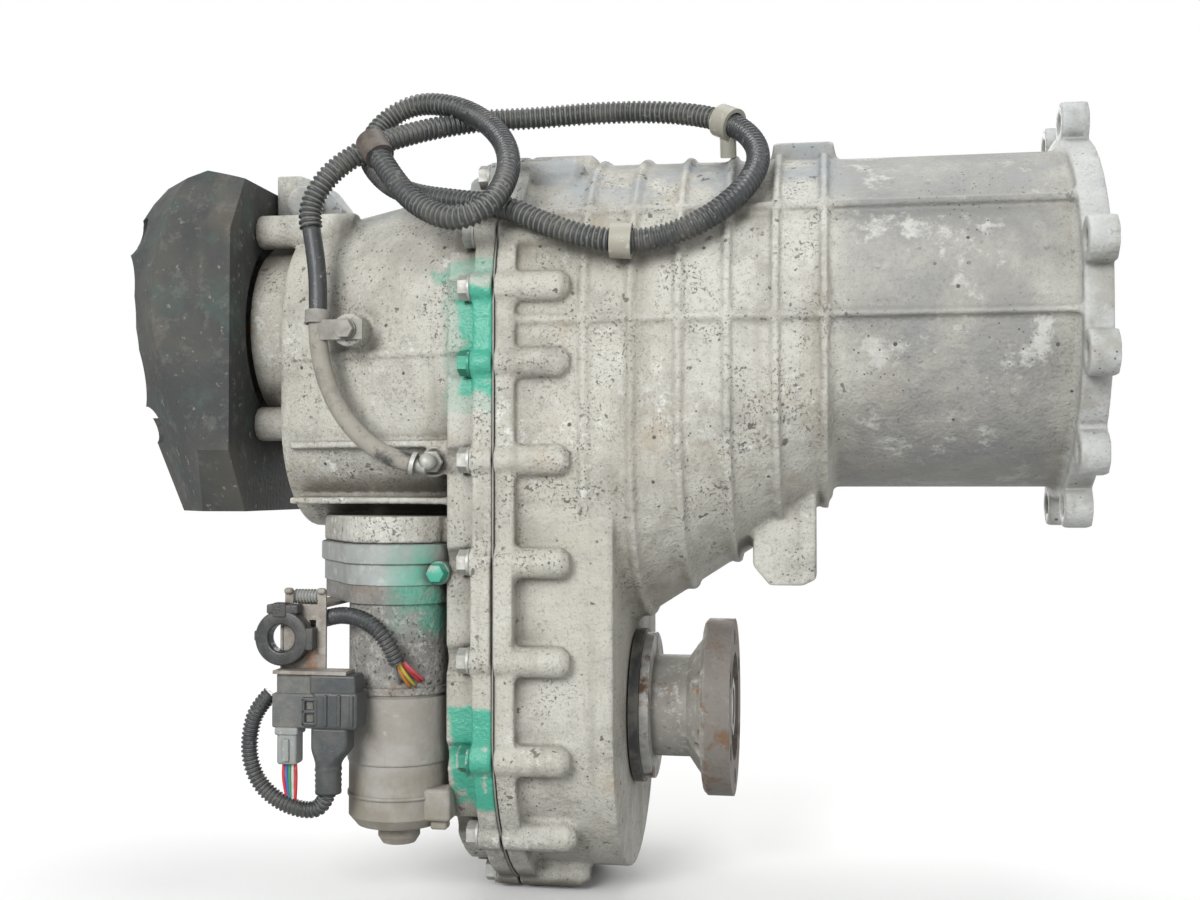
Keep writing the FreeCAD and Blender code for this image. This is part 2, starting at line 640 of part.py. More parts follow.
def make_rear_cover():
    body = new_body("rear_cover")
    wall, drop = size("housing_wall"), size("output_drop")
    outer, back = size("chain_wall_radius"), size("rear_wall")
    pad_along_x(body, COVER_RIM_BACK, COVER_FACE, racetrack(size("rim_radius"), drop))
    pad_along_x(body, COVER_RIM_BACK + 1.5, COVER_FACE, circles(bolt_spots(), size("boss_radius")))
    pad_outward(body, 100, 114, rectangle(-COVER_RIM_BACK, -COVER_FACE, -204, -146))
    pad_along_x(body, COVER_BACK, COVER_FACE, racetrack(size("chain_wall_radius"), drop))
    wide = (COVER_FACE, racetrack(outer, size("cover_drop")))
    narrow = (back, racetrack(size("barrel_radius"), size("barrel_drop")))
    blend(body, "AdditiveLoft", [wide, narrow])
    nose_radius = size("barrel_radius") - 10
    pad_along_x(body, size("nose_back"), back - 1, circles([(0, 0)], nose_radius))
    bosses = circles(damper_spots(), 11)
    pad_along_x(body, size("nose_back"), back - 40, bosses)
    # flat pad under the barrel that carries the range servo
    shelf = -size("servo_top"), -size("servo_top") + 16
    around_cam = size("servo_module") * (size("wheel_teeth") / 2 + 0.9) + 4
    around_servo = size("servo_radius") + 3
    seats = [(SERVO_X, size("servo_side"), around_servo), (CAM_X, CAM_Y, around_cam)]
    for x, y, radius in seats:
        pad_up(body, *shelf, circles([(x, y)], radius))
    pad_up(body, *shelf, polygon(band_corners(*seats)))
    # boss of the hose clip, and the breather's boss
    pad_outward(body, 60, 100, circles([(-435, -9)], 10))
    pad_outward(body, 60, 102, circles([(-382, -88)], 9))
    # lengthwise ribs on the near side
    for height in (-22, -77, -111):
        side = [(-COVER_FACE, -outer - 2), (-(back - 8), -(size("barrel_radius") + 4)),
                (-(back - 8), -40), (-COVER_FACE, -40)]
        pad_up(body, height - 2, height + 2, polygon(side))
    # ear on the crown
    ear = [(-514, 50), (-472, 50), (-468, 80), (-482, 98), (-498, 104), (-514, 104)]
    pad_outward(body, -14, 18, polygon(ear))
    pad_outward(body, -24, 28, circles([(-492, 84)], 11))
    # plug bosses on the rear wall of the chain housing
    pad_along_x(body, COVER_BACK + 4, COVER_BACK - 1, circles(plug_spots(), 14))
    # room for the bolt heads, then the hollows
    scallops = circles(bolt_spots(), size("scallop_radius"))
    pocket_along_x(body, COVER_RIM_BACK + 60, COVER_RIM_BACK + 1.5, scallops)
    cavity = racetrack(CHAIN_CAVITY_RADIUS, drop)
    pocket_along_x(body, CHAIN_CAVITY_BACK, COVER_FACE - 1, cavity)
    inner = outer - wall
    deep = (COVER_FACE - 1, racetrack(inner, size("cover_drop")))
    end = (back - wall, racetrack(size("barrel_radius") - wall, size("barrel_drop")))
    blend(body, "SubtractiveLoft", [deep, end])
    # rear bearing boss and the rail's boss
    seat = size("rear_bearing_radius") + FIT
    boss_front = REAR_BEARING_BACK - size("bearing_width")
    pad_along_x(body, back - wall + 1, boss_front, circles([(0, 0)], seat + wall))
    rail_spot = [(size("rail_side"), -size("rail_drop"))]
    rail_boss = size("rail_back") - 8
    pad_along_x(body, back - wall + 1, rail_boss, circles(rail_spot, 12))
    seal = size("main_radius") + size("seal_height") + FIT
    spin(
        body,
        "Groove",
        [
            (-(size("nose_back") + 1), 0),
            (-(size("nose_back") + 1), seal),
            (-REAR_BEARING_BACK, seal),
            (-REAR_BEARING_BACK, seat),
            (-(boss_front - 1), seat),
            (-(boss_front - 1), 0),
        ],
    )
    rail_end = size("rail_back") + RANGE_TRAVEL + 2
    pocket_along_x(body, rail_end, rail_boss - 1, circles(rail_spot, size("rail_radius") + FIT))
    # end bearing of the front output shaft
    boss = circles([(0, -drop)], size("end_bearing_radius") + wall)
    pad_along_x(body, COVER_BACK, END_BEARING_FRONT, boss)
    seat = circles([(0, -drop)], size("end_bearing_radius") + FIT)
    pocket_along_x(body, CHAIN_CAVITY_BACK, END_BEARING_FRONT - 1, seat)
    # upright bore of the range cam's shaft
    cam_bore = circles([(CAM_X, CAM_Y)], size("cam_radius") + FIT)
    pocket_down(body, -size("servo_top") - 1, -size("rail_drop") - 12, cam_bore)
    # holes
    holes = circles(bolt_spots(), size("case_bolt_radius") + size("bolt_clearance"))
    pocket_along_x(body, COVER_RIM_BACK + 60, COVER_FACE - 1, holes)
    tapped = circles(damper_spots(), 5 + FIT)
    pocket_along_x(body, size("nose_back") + 1, size("nose_back") - 22, tapped)
    pocket_along_x(body, COVER_BACK + 5, COVER_BACK - 6, circles(plug_spots(), 9 + FIT))
    pocket_inward(body, 80, 101, circles([(-435, -9)], 3 + FIT))
    pocket_inward(body, 80, 103, circles([(-382, -88)], 4 + FIT))
    return body


# ---------------------------------------------------------------- shape helpers


def cylinder(radius, length, at, along):
    """A cylinder from the point at, in the direction along."""
    return Part.makeCylinder(float(radius), float(length), Vector(*at), Vector(*along))


def block(low, high):
    """A box between two corners."""
    low, high = Vector(*low), Vector(*high)
    spread = high - low
    return Part.makeBox(spread.x, spread.y, spread.z, low)


def prism(corners, along):
    """A face with straight sides, extruded."""
    outline = Part.makePolygon([Vector(*corner) for corner in corners + corners[:1]])
    return Part.Face(outline).extrude(Vector(*along))


def hexagon(across_flats, thickness, at, along):
    """A hexagonal prism from the point at, in the direction along."""
    radius = across_flats / math.sqrt(3)
    way = Vector(*along)
    way.normalize()
    turn = Rotation(Vector(0, 0, 1), way)
    corners = []
    for count in range(7):
        angle = math.radians(60 * count)
        spot = turn.multVec(Vector(radius * math.cos(angle), radius * math.sin(angle), 0))
        corners.append(Vector(*at) + spot)
    return Part.Face(Part.makePolygon(corners)).extrude(way * thickness)


def flange_bolt(radius, length, across_flats, at, along):
    """A hexagon bolt with a washer face. The shank points along; the head lies behind at."""
    way = Vector(*along)
    way.normalize()
    back = way * -1
    spot = Vector(*at)
    washer = cylinder(across_flats * 0.62, 1.6, spot, back)
    head = hexagon(across_flats, radius * 1.4 + 1.6, spot, back)
    return cylinder(radius, length, spot, way).fuse([washer, head])


def group(label, solids):
    """Separate solids of one kind in one piece of the document."""
    return shaped(label, Part.makeCompound(solids))


def fused(label, items):
    """Document objects joined into one solid."""
    item = DOC.addObject("Part::MultiFuse", label)
    item.Label = label
    item.Shapes = items
    return item


def tooth_outline(teeth, pitch_radius, module, inward=False, turn=0.0, thin=0.21):
    """Corners (across, up) of a toothed outline, with a tooth centred on the angle turn.

    A tooth has straight flanks at 20 degrees. It is thin times the pitch wide each side of
    its middle on the pitch circle, which leaves backlash, and its root is not undercut.
    """
    sign = -1 if inward else 1
    pitch = 2 * math.pi * pitch_radius / teeth
    tip, root = pitch_radius + sign * 0.9 * module, pitch_radius - sign * 1.2 * module
    slope = math.tan(math.radians(20))
    at_tip = (thin * pitch - 0.9 * module * slope) / tip
    at_root = (thin * pitch + 0.7 * module * slope) / root
    corners = []
    for count in range(teeth):
        middle = turn + 2 * math.pi * count / teeth
        for radius, lean in ((root, -at_root), (tip, -at_tip), (tip, at_tip), (root, at_root)):
            angle = middle + lean
            corners.append((radius * math.cos(angle), radius * math.sin(angle)))
    return corners


def gear_along_x(corners, front, width):
    """A toothed outline in the YZ plane, extruded backwards from x = -front."""
    spots = [(-float(front), across, up) for across, up in corners]
    return prism(spots, (-float(width), 0, 0))


# ---------------------------------------------------------------- case fasteners


def make_gasket():
    body = new_body("case_gasket")
    face, back = size("parting"), COVER_FACE
    pad_along_x(body, back, face, racetrack(size("rim_radius"), size("output_drop")))
    window = racetrack(CHAIN_CAVITY_RADIUS + 4, size("output_drop"))
    pocket_along_x(body, back + 1, face - 1, window)
    holes = circles(bolt_spots(), size("case_bolt_radius") + size("bolt_clearance"))
    pocket_along_x(body, back + 1, face - 1, holes)


def make_case_bolts():
    seat = float(COVER_RIM_BACK) + 1.5
    length = seat - number("parting") + 28
    bolts = []
    for across, up in bolt_spots():
        at = (-seat, float(across), float(up))
        bolts.append(flange_bolt(number("case_bolt_radius"), length, 13, at, (1, 0, 0)))
    group("case_bolts", bolts)


def make_plugs():
    plugs = []
    for across, up in plug_spots():
        at = (-float(COVER_BACK) - 4, float(across), float(up))
        plugs.append(flange_bolt(9, 9, 22, at, (1, 0, 0)))
    group("oil_plugs", plugs)


# ---------------------------------------------------------------- planetary gear


def pitch_radius(teeth):
    return number("gear_module") * number(teeth) / 2


def make_input_shaft():
    teeth = int(number("sun_teeth"))
    outline = tooth_outline(teeth, pitch_radius("sun_teeth"), number("gear_module"))
    sun = shaped("sun_teeth", gear_along_x(outline, GEAR_FRONT, size("gear_width")))
    nose, front = size("input_nose"), size("input_nose")
    journal = size("input_radius")
    pilot = size("pilot_radius") + FIT
    seal_front = INPUT_BEARING_FRONT - SEAL_WIDTH
    shaft = turned(
        "input_shaft_body",
        front,
        [
            (0, size("socket_radius")),
            (0, journal - 4),
            (seal_front - nose - 2, journal - 4),
            (seal_front - nose - 2, journal),
            (GEAR_BACK - nose, journal),
            (GEAR_BACK - nose, pilot),
            (GEAR_BACK - nose - size("pilot_length") - 1, pilot),
            (GEAR_BACK - nose - size("pilot_length") - 1, 0),
            (size("socket_depth"), 0),
            (size("socket_depth"), size("socket_radius")),
        ],
    )
    bore = shaped("pilot_bore", cylinder(pilot, size("pilot_length") + 1,
                                         (-float(GEAR_BACK), 0, 0), (1, 0, 0)))
    joined = fused("input_blank", [shaft, sun])
    cut = DOC.addObject("Part::Cut", "input_shaft")
    cut.Label = "input_shaft"
    cut.Base, cut.Tool = joined, bore


PLANET_ORBIT = (size("sun_teeth") + size("planet_teeth")) * size("gear_module") / 2
PLANET_ANGLES = (90, 210, 330)


def make_planets():
    teeth = int(number("planet_teeth"))
    width = size("gear_width")
    for count, angle in enumerate(PLANET_ANGLES, start=1):
        around = math.radians(angle)
        outline = tooth_outline(teeth, pitch_radius("planet_teeth"), number("gear_module"),
                                turn=planet_turn(around), thin=0.2)
        gear = gear_along_x(outline, GEAR_FRONT, width)
        bore = cylinder(size("pin_radius") + FIT, width, (-float(GEAR_FRONT), 0, 0), (-1, 0, 0))
        orbit = float(PLANET_ORBIT)
        shaped(f"planet_gear_{count}", gear.cut(bore),
               y=orbit * math.cos(around), z=orbit * math.sin(around))


def planet_turn(around):
    """Angle of a planet tooth that puts a gap against the sun's tooth there."""
    sun, planet = number("sun_teeth"), number("planet_teeth")
    sun_phase = sun * around / (2 * math.pi)
    return around + math.pi - 2 * math.pi / planet * (0.5 - sun_phase)


def make_ring_gear():
    teeth = int(number("sun_teeth") + 2 * number("planet_teeth"))
    radius = number("gear_module") * teeth / 2
    outline = tooth_outline(teeth, radius, number("gear_module"), inward=True,
                            turn=ring_turn(teeth))
    rim = cylinder(ring_outer_radius(), size("gear_width"), (-float(GEAR_FRONT), 0, 0), (-1, 0, 0))
    shaped("ring_gear", rim.cut(gear_along_x(outline, GEAR_FRONT, size("gear_width"))))


def ring_turn(teeth):
    """Angle of a ring tooth that meets a gap of the first planet."""
    around = math.radians(PLANET_ANGLES[0])
    phase = number("planet_teeth") * (around - planet_turn(around)) / (2 * math.pi)
    return around - 2 * math.pi / teeth * (0.5 + phase)


def make_carrier():
    front = float(GEAR_FRONT - RUN)
    back = float(GEAR_BACK + RUN)
    thick, radius = number("plate_thickness"), number("plate_radius")
    plate = cylinder(radius, thick, (-front, 0, 0), (1, 0, 0))
    plate = plate.cut(cylinder(size("input_radius") + FIT, thick, (-front, 0, 0), (1, 0, 0)))
    rear = cylinder(radius, thick, (-back, 0, 0), (-1, 0, 0))
    rear = rear.fuse(cylinder(radius * 0.55, thick + 5, (-back, 0, 0), (-1, 0, 0)))
    rear = rear.cut(cylinder(size("main_radius") + FIT, thick + 5, (-back, 0, 0), (-1, 0, 0)))
    pieces = [rear]
    orbit = float(PLANET_ORBIT)
    for angle in PLANET_ANGLES:
        around = math.radians(angle)
        at = (-front, orbit * math.cos(around), orbit * math.sin(around))
        pieces.append(cylinder(size("pin_radius"), back - front, at, (-1, 0, 0)))
        pillar = Part.makeCylinder(radius - 1, back - front, Vector(-front, 0, 0),
                                   Vector(-1, 0, 0), 44)
        core = cylinder(pitch_radius("sun_teeth") + 5, back - front, (-front, 0, 0), (-1, 0, 0))
        pillar = pillar.cut(core).Solids[0]
        middle = pillar.CenterOfMass
        now = math.degrees(math.atan2(middle.z, middle.y))
        pillar.rotate(Vector(0, 0, 0), Vector(1, 0, 0), angle + 60 - now)
        pieces.append(pillar)
    shaped("planet_carrier", plate.fuse(pieces))


# ---------------------------------------------------------------- shafts


def make_main_shaft():
    radius = size("main_radius")
    front = GEAR_BACK - size("pilot_length")
    flange_end = size("main_end") - size("recess_depth") - 4 - RUN
    turned(
        "main_shaft",
        front,
        [
            (0, 0),
            (0, size("pilot_radius")),
            (size("pilot_length") + RUN, size("pilot_radius")),
            (size("pilot_length") + RUN, radius),
            (flange_end - front, radius),
            (flange_end - front, size("thread_radius")),
            (size("main_end") - front, size("thread_radius")),
            (size("main_end") - front, 0),
        ],
    )


def make_seals_and_bearings():
    journal, drop = size("input_radius"), -size("output_drop")
    ring("input_seal", INPUT_BEARING_FRONT - SEAL_WIDTH, SEAL_WIDTH, journal + FIT,
         journal + size("seal_height"))
    ring("input_bearing", INPUT_BEARING_FRONT, size("bearing_width"), journal + FIT,
         size("input_bearing_radius"))
    ring("rear_bearing", REAR_BEARING_BACK - size("bearing_width"), size("bearing_width"),
         size("main_radius") + FIT, size("rear_bearing_radius"))
    ring("rear_seal", size("nose_back") - SEAL_WIDTH, SEAL_WIDTH, REAR_HUB_RADIUS + FIT,
         size("main_radius") + size("seal_height"))
    front = FRONT_BEARING_BACK - CHAIN_CAVITY_FRONT
    ring("front_bearing", CHAIN_CAVITY_FRONT, front, size("front_shaft_radius") + FIT,
         size("front_bearing_radius"), drop)
    ring("front_end_bearing", END_BEARING_FRONT, CHAIN_CAVITY_BACK - END_BEARING_FRONT,
         size("end_journal_radius") + FIT, size("end_bearing_radius"), drop)


REAR_HUB_RADIUS = size("main_radius") + 6


def make_front_output():
    drop, radius = -size("output_drop"), size("front_shaft_radius")
    front = size("output_flange_face") + 2
    neck = CHAIN_CAVITY_FRONT
    turned(
        "front_output_shaft",
        front,
        [
            (0, 0),
            (0, size("thread_radius") - 2),
            (12, size("thread_radius") - 2),
            (12, radius - 5.5),
            (neck - front, radius - 5.5),
            (neck - front, radius),
            (SPROCKET_BACK + 2 - front, radius),
            (SPROCKET_BACK + 2 - front, size("end_journal_radius")),
            (CHAIN_CAVITY_BACK - 1 - front, size("end_journal_radius")),
            (CHAIN_CAVITY_BACK - 1 - front, 0),
        ],
        drop,
    )
    # seal: a wide flange on the nose and a spigot in the case's bore
    seal_front = size("nose_face") - 7
    turned(
        "front_seal",
        seal_front,
        [
            (0, size("hub_radius") + FIT),
            (0, size("seal_radius")),
            (6, size("seal_radius")),
            (6, SPIGOT_RADIUS),
            (CHAIN_CAVITY_FRONT - seal_front, SPIGOT_RADIUS),
            (CHAIN_CAVITY_FRONT - seal_front, size("hub_radius") + FIT),
        ],
        drop,
    )
    ring("front_dust_ring", seal_front - 6, 5.6, size("hub_radius"), size("seal_radius") - 2.5, drop)


def flange_body(label, face, sign, length, hub, bore, thread, up):
    """A companion flange. Its bolted face lies at x = -face, and its hub runs from there
    for length, rearwards when sign is 1 and forwards when it is -1."""
    body = new_body(label)
    thick, wide = size("output_flange_thickness"), size("output_flange_radius")
    outline = [
        (0, size("recess_radius")),
        (0, wide),
        (thick - 2, wide),
        (thick, wide - 2),
        (thick, hub + 14),
        (thick + 10, hub),
        (length, hub),
        (length, bore),
        (size("recess_depth") + 4, bore),
        (size("recess_depth") + 4, thread),
        (size("recess_depth"), thread),
        (size("recess_depth"), size("recess_radius")),
    ]
    spin(body, "Revolution", [(Dim.of(back) * -sign, radius) for back, radius in outline])
    spots = []
    for count in range(6):
        turn = math.radians(60 * count + 30)
        reach = size("output_bolt_radius")
        spots.append((reach * math.cos(turn), reach * math.sin(turn)))
    draw = circles(spots, size("output_hole_radius"))
    if sign > 0:
        pocket_along_x(body, thick + 6, 0, draw)
    else:
        pocket_along_x(body, 0, -(thick + 6), draw)
    bind(body, "Placement.Base.x", -Dim.of(face))
    bind(body, "Placement.Base.z", Dim.of(up))


def make_output_flanges():
    face = size("output_flange_face")
    flange_body("front_output_flange", face, 1, CHAIN_CAVITY_FRONT - RUN - face,
                size("hub_radius"), size("front_shaft_radius") - 5.5 + FIT,
                size("thread_radius") - 2 + FIT, -size("output_drop"))
    rear_face = size("main_end")
    flange_body("rear_output_flange", rear_face, -1, rear_face - REAR_BEARING_BACK - RUN,
                REAR_HUB_RADIUS, size("main_radius") + FIT, size("thread_radius") + FIT, 0)
    depth = number("recess_depth")
    nut = hexagon(32, depth - 1, (-number("output_flange_face") - depth, 0, 0), (1, 0, 0))
    hole = cylinder(size("thread_radius") - 2 + FIT, 40, (-number("output_flange_face") - 30, 0, 0),
                    (1, 0, 0))
    shaped("front_flange_nut", nut.cut(hole), z=-number("output_drop"))
    nut = hexagon(36, depth - 1, (-float(rear_face) + depth, 0, 0), (-1, 0, 0))
    hole = cylinder(size("thread_radius") + FIT, 40, (-float(rear_face) - 10, 0, 0), (1, 0, 0))
    shaped("rear_flange_nut", nut.cut(hole))


# ---------------------------------------------------------------- chain drive and clutch


def sprocket(label, bore, up):
    teeth = int(number("sprocket_teeth"))
    tip, front = number("sprocket_radius"), size("sprocket_front")
    corners = []
    for count in range(teeth):
        middle = 2 * math.pi * count / teeth
        pitch = 2 * math.pi / teeth
        for radius, lean in ((tip - 5, -0.36), (tip, -0.12), (tip, 0.12), (tip - 5, 0.36)):
            angle = middle + lean * pitch
            corners.append((radius * math.cos(angle), radius * math.sin(angle)))
    width = float(SPROCKET_BACK - front)
    rim = gear_along_x(corners, front + 3, width - 6)
    hub = cylinder(float(bore) + 12, width, (-float(front), 0, 0), (-1, 0, 0))
    waist = cylinder(tip - 14, 8, (-float(front) - 3, 0, 0), (-1, 0, 0))
    far_waist = cylinder(tip - 14, 8, (-float(front) - width + 3, 0, 0), (1, 0, 0))
    hole = cylinder(float(bore) + float(FIT), width + 2, (-float(front) + 1, 0, 0), (-1, 0, 0))
    shape = rim.cut([waist, far_waist]).fuse(hub).cut(hole)
    shaped(label, shape, z=up)


def loop_point(radius, distance):
    """A point (y, z) at a distance along the chain's loop, which runs on two circles."""
    drop = number("output_drop")
    half = math.pi * radius
    total = 2 * drop + 2 * half
    distance = distance % total
    if distance < half:
        angle = distance / radius
        return radius * math.cos(angle), radius * math.sin(angle)
    distance -= half
    if distance < drop:
        return -radius, -distance
    distance -= drop
    if distance < half:
        angle = math.pi + distance / radius
        return radius * math.cos(angle), radius * math.sin(angle) - drop
    return radius, -drop + (distance - half)


def make_chain():
    """A toothed chain: an inner loop, and an outer loop with a notch between the links."""
    inner = number("sprocket_radius") + 2.2 * float(RUN)
    outer = inner + number("chain_thickness")
    pitch = 2 * math.pi * inner / number("sprocket_teeth")
    length = 2 * number("output_drop") + 2 * math.pi * inner
    links = int(length / pitch)
    inside, outside = [], []
    for count in range(links):
        share = count / links
        inside.append(loop_point(inner, share * length))
        reach = 2 * number("output_drop") + 2 * math.pi * outer
        for offset, depth in ((0.06, 0), (0.94, 0), (1.0, 1.6)):
            spot = (share + offset / links) * reach
            outside.append(loop_point(outer - depth, spot / reach
                                      * (2 * number("output_drop") + 2 * math.pi * (outer - depth))))
    front, width = size("sprocket_front") + 1, size("chain_width")
    band = gear_along_x(outside, front, width).cut(gear_along_x(inside, front, width))
    shaped("drive_chain", band)


def make_clutch():
    back, front = size("clutch_back"), size("clutch_front")
    radius, shaft = size("clutch_radius"), size("main_radius") + FIT
    hub = size("main_radius") + 10
    turned(
        "clutch_drum",
        front,
        [
            (0, radius - 4),
            (0, radius),
            (back - front, radius),
            (back - front, shaft),
            (12, shaft),
            (12, hub),
            (back - front - 6, hub),
            (back - front - 6, radius - 4),
        ],
    )
    thick, gap = number("disc_thickness"), float(RUN)
    discs = []
    face = float(back) - 6 - gap
    for count in range(int(number("disc_count"))):
        start = face - (thick + gap) * count
        disc = cylinder(float(radius) - 4 - 0.3, thick, (-start, 0, 0), (1, 0, 0))
        bore = cylinder(float(hub) + 0.3, thick, (-start, 0, 0), (1, 0, 0))
        discs.append(disc.cut(bore))
    group("clutch_discs", discs)
    stack = (size("disc_thickness") + RUN) * size("disc_count") + 6
    plate_back = back - stack - RUN - size("clutch_travel")
    ring("pressure_plate", plate_back - 8, 8, hub + RUN, radius - 4 - RUN)


def make_oil_pump():
    boss_front = REAR_BEARING_BACK - size("bearing_width")
    shaft = size("main_radius")
    outer = size("rear_bearing_radius") + FIT + size("housing_wall")
    turned(
        "oil_pump",
        boss_front - 16,
        [
            (0, shaft + RUN),
            (0, outer),
            (16, outer),
            (16, shaft + 14),
            (4, shaft + 14),
            (4, shaft + RUN),
        ],
    )
    ring("oil_pump_rotor", boss_front - 12 + RUN, 12 - 2 * RUN, shaft + FIT, shaft + 14 - RUN)


# ---------------------------------------------------------------- range change


def make_range_change():
    side, drop = number("rail_side"), -number("rail_drop")
    radius = size("sleeve_radius")
    sleeve_front = GEAR_BACK + 17
    turned(
        "range_sleeve",
        sleeve_front,
        [
            (0, size("main_radius") + FIT),
            (0, radius - 6),
            (8, radius),
            (11, radius),
            (11, size("groove_radius")),
            (21, size("groove_radius")),
            (21, radius),
            (30, radius),
            (30, size("main_radius") + FIT),
        ],
    )
    # fork: a half ring in the sleeve's groove, a stem and a hub on the rail
    start = -float(sleeve_front) - 11 - float(RUN)
    thick = 10 - 2 * float(RUN)
    arm = cylinder(float(radius) + 8, thick, (start, 0, 0), (-1, 0, 0))
    arm = arm.cut(cylinder(number("groove_radius") + float(RUN), thick, (start, 0, 0), (-1, 0, 0)))
    arm = arm.common(block((start - 50, -100, -100), (start + 50, 100, -8)))
    stem = block((start - thick, side - 8, drop), (start, side + 8, -float(radius) - 2))
    hub = cylinder(number("rail_radius") + 6, thick + 8, (start + 4, side, drop), (-1, 0, 0))
    rail_hole = cylinder(number("rail_radius") + float(FIT), thick + 60, (start + 30, side, drop),
                         (-1, 0, 0))
    shaped("shift_fork", arm.fuse([stem, hub]).cut(rail_hole))
    # rail with the finger that the cam's crank pin moves
    length = number("rail_back") - number("rail_front")
    rail = cylinder(number("rail_radius"), length, (-number("rail_front"), side, drop), (-1, 0, 0))
    swing = math.radians(number("cam_swing") / 2)
    pin_x = float(CAM_X) + number("cam_throw") * math.sin(swing)
    cam_y = float(CAM_Y)
    reach = cam_y - 5
    finger = block((pin_x - 9, reach, drop - 11), (pin_x + 9, side + 6, drop - 6))
    slot = block((pin_x - 3.4, reach - 1, drop - 12), (pin_x + 3.4, cam_y + 14, drop - 5))
    shaped("shift_rail", rail.fuse(finger).cut(slot))
    # upright cam shaft with its crank disc and pin
    low = -number("servo_top") - 20
    disc_top = drop - 11 - float(RUN)
    shaft = cylinder(size("cam_radius"), disc_top - low, (float(CAM_X), cam_y, low), (0, 0, 1))
    disc = cylinder(number("cam_throw") + 4, 5, (float(CAM_X), cam_y, disc_top), (0, 0, -1))
    pin_y = cam_y + number("cam_throw") * math.cos(swing)
    pin = cylinder(3, 6, (pin_x, pin_y, disc_top), (0, 0, 1))
    shaped("range_cam", shaft.fuse([disc, pin]))


# ---------------------------------------------------------------- range servo


def servo_place():
    return float(SERVO_X), number("servo_side"), float(CAM_X), float(CAM_Y)


def rounded_plan(spots, low, high):
    """A plate round two upright axes: two discs and the band between them."""
    (x1, y1, r1), (x2, y2, r2) = spots
    corners = [(x, y, low) for x, y in band_corners(*spots)]
    band = prism(corners, (0, 0, high - low))
    first = cylinder(r1, high - low, (x1, y1, low), (0, 0, 1))
    second = cylinder(r2, high - low, (x2, y2, low), (0, 0, 1))
    return band.fuse([first, second])


def make_servo():
    x, y, cam_x, cam_y = servo_place()
    top = -number("servo_top")
    base = top - number("servo_plate")
    module, gap = number("servo_module"), float(RUN)
    pinion_tip = module * (number("pinion_teeth") / 2 + 0.9)
    wheel_tip = module * (number("wheel_teeth") / 2 + 0.9)
    radius = number("servo_radius")
    lid = base + 11
    outline = [(x, y, radius + 3), (cam_x, cam_y, wheel_tip + 4)]
    room = [(x, y, pinion_tip + 2), (cam_x, cam_y, wheel_tip + 1)]
    shell = rounded_plan(outline, lid, top).cut(rounded_plan(room, lid, top - 5))
    shell = shell.cut(cylinder(size("cam_radius") + FIT, 20, (cam_x, cam_y, top - 10), (0, 0, 1)))
    shaped("servo_gear_housing", shell)
    plate = rounded_plan([(x, y, radius + 2), (cam_x, cam_y, wheel_tip + 3)], base, lid)
    plate = plate.cut(cylinder(4 + float(FIT), 30, (x, y, base - 5), (0, 0, 1)))
    shaped("servo_base_plate", plate)
    # gears: the wheel on the cam's shaft and the pinion on the armature
    gear_low, gear_high = lid + gap, top - 5 - gap
    toward = math.atan2(cam_y - y, cam_x - x)
    pinion = tooth_outline(int(number("pinion_teeth")), module * number("pinion_teeth") / 2,
                           module, turn=toward, thin=0.19)
    wheel_teeth = int(number("wheel_teeth"))
    wheel = tooth_outline(wheel_teeth, module * wheel_teeth / 2, module,
                          turn=toward + math.pi + math.pi / wheel_teeth, thin=0.2)
    height = gear_high - gear_low
    wheel_shape = prism([(a, b, gear_low) for a, b in wheel], (0, 0, height))
    hole = cylinder(size("cam_radius") + FIT, 40, (0, 0, gear_low - 5), (0, 0, 1))
    shaped("servo_output_gear", wheel_shape.cut(hole), x=cam_x, y=cam_y)
    pinion_shape = prism([(a, b, gear_low) for a, b in pinion], (0, 0, height))
    body_low = base - number("servo_body_length")
    can_low = body_low - number("servo_can_length")
    spindle = cylinder(4, gear_high - can_low - 2, (0, 0, can_low + 2), (0, 0, 1))
    core = cylinder(radius - 7, number("servo_can_length") - 14, (0, 0, can_low + 10), (0, 0, 1))
    shaped("servo_armature", spindle.fuse([pinion_shape, core]), x=x, y=y)
    # cast body, can and end cap
    body = cylinder(radius, base - body_low, (x, y, body_low), (0, 0, 1))
    lip = cylinder(radius + 1.5, 4, (x, y, body_low), (0, 0, 1))
    inside = cylinder(radius - 5, base - body_low - 6, (x, y, body_low), (0, 0, 1))
    bore = cylinder(4 + float(FIT), 80, (x, y, body_low), (0, 0, 1))
    shaped("servo_body", body.fuse(lip).cut([inside, bore]))
    turned_upright(
        "servo_can",
        SERVO_X,
        size("servo_side"),
        -size("servo_top") - size("servo_plate") - size("servo_body_length"),
        [
            (size("servo_radius") - 4, 0),
            (size("servo_radius"), 0),
            (size("servo_radius"), size("servo_can_length") - 6),
            (size("servo_radius") - 5, size("servo_can_length")),
            (6, size("servo_can_length")),
            (6, size("servo_can_length") - 4),
            (size("servo_radius") - 4, size("servo_can_length") - 4),
        ],
    )
    cap_top = -size("servo_top") - size("servo_plate") - size("servo_body_length") - size("servo_can_length")
    turned_upright(
        "servo_end_cap",
        SERVO_X,
        size("servo_side"),
        cap_top,
        [(0, 0), (12.5, 0), (12.5, 8), (10, 12), (0, 12)],
    )


# ---------------------------------------------------------------- damper


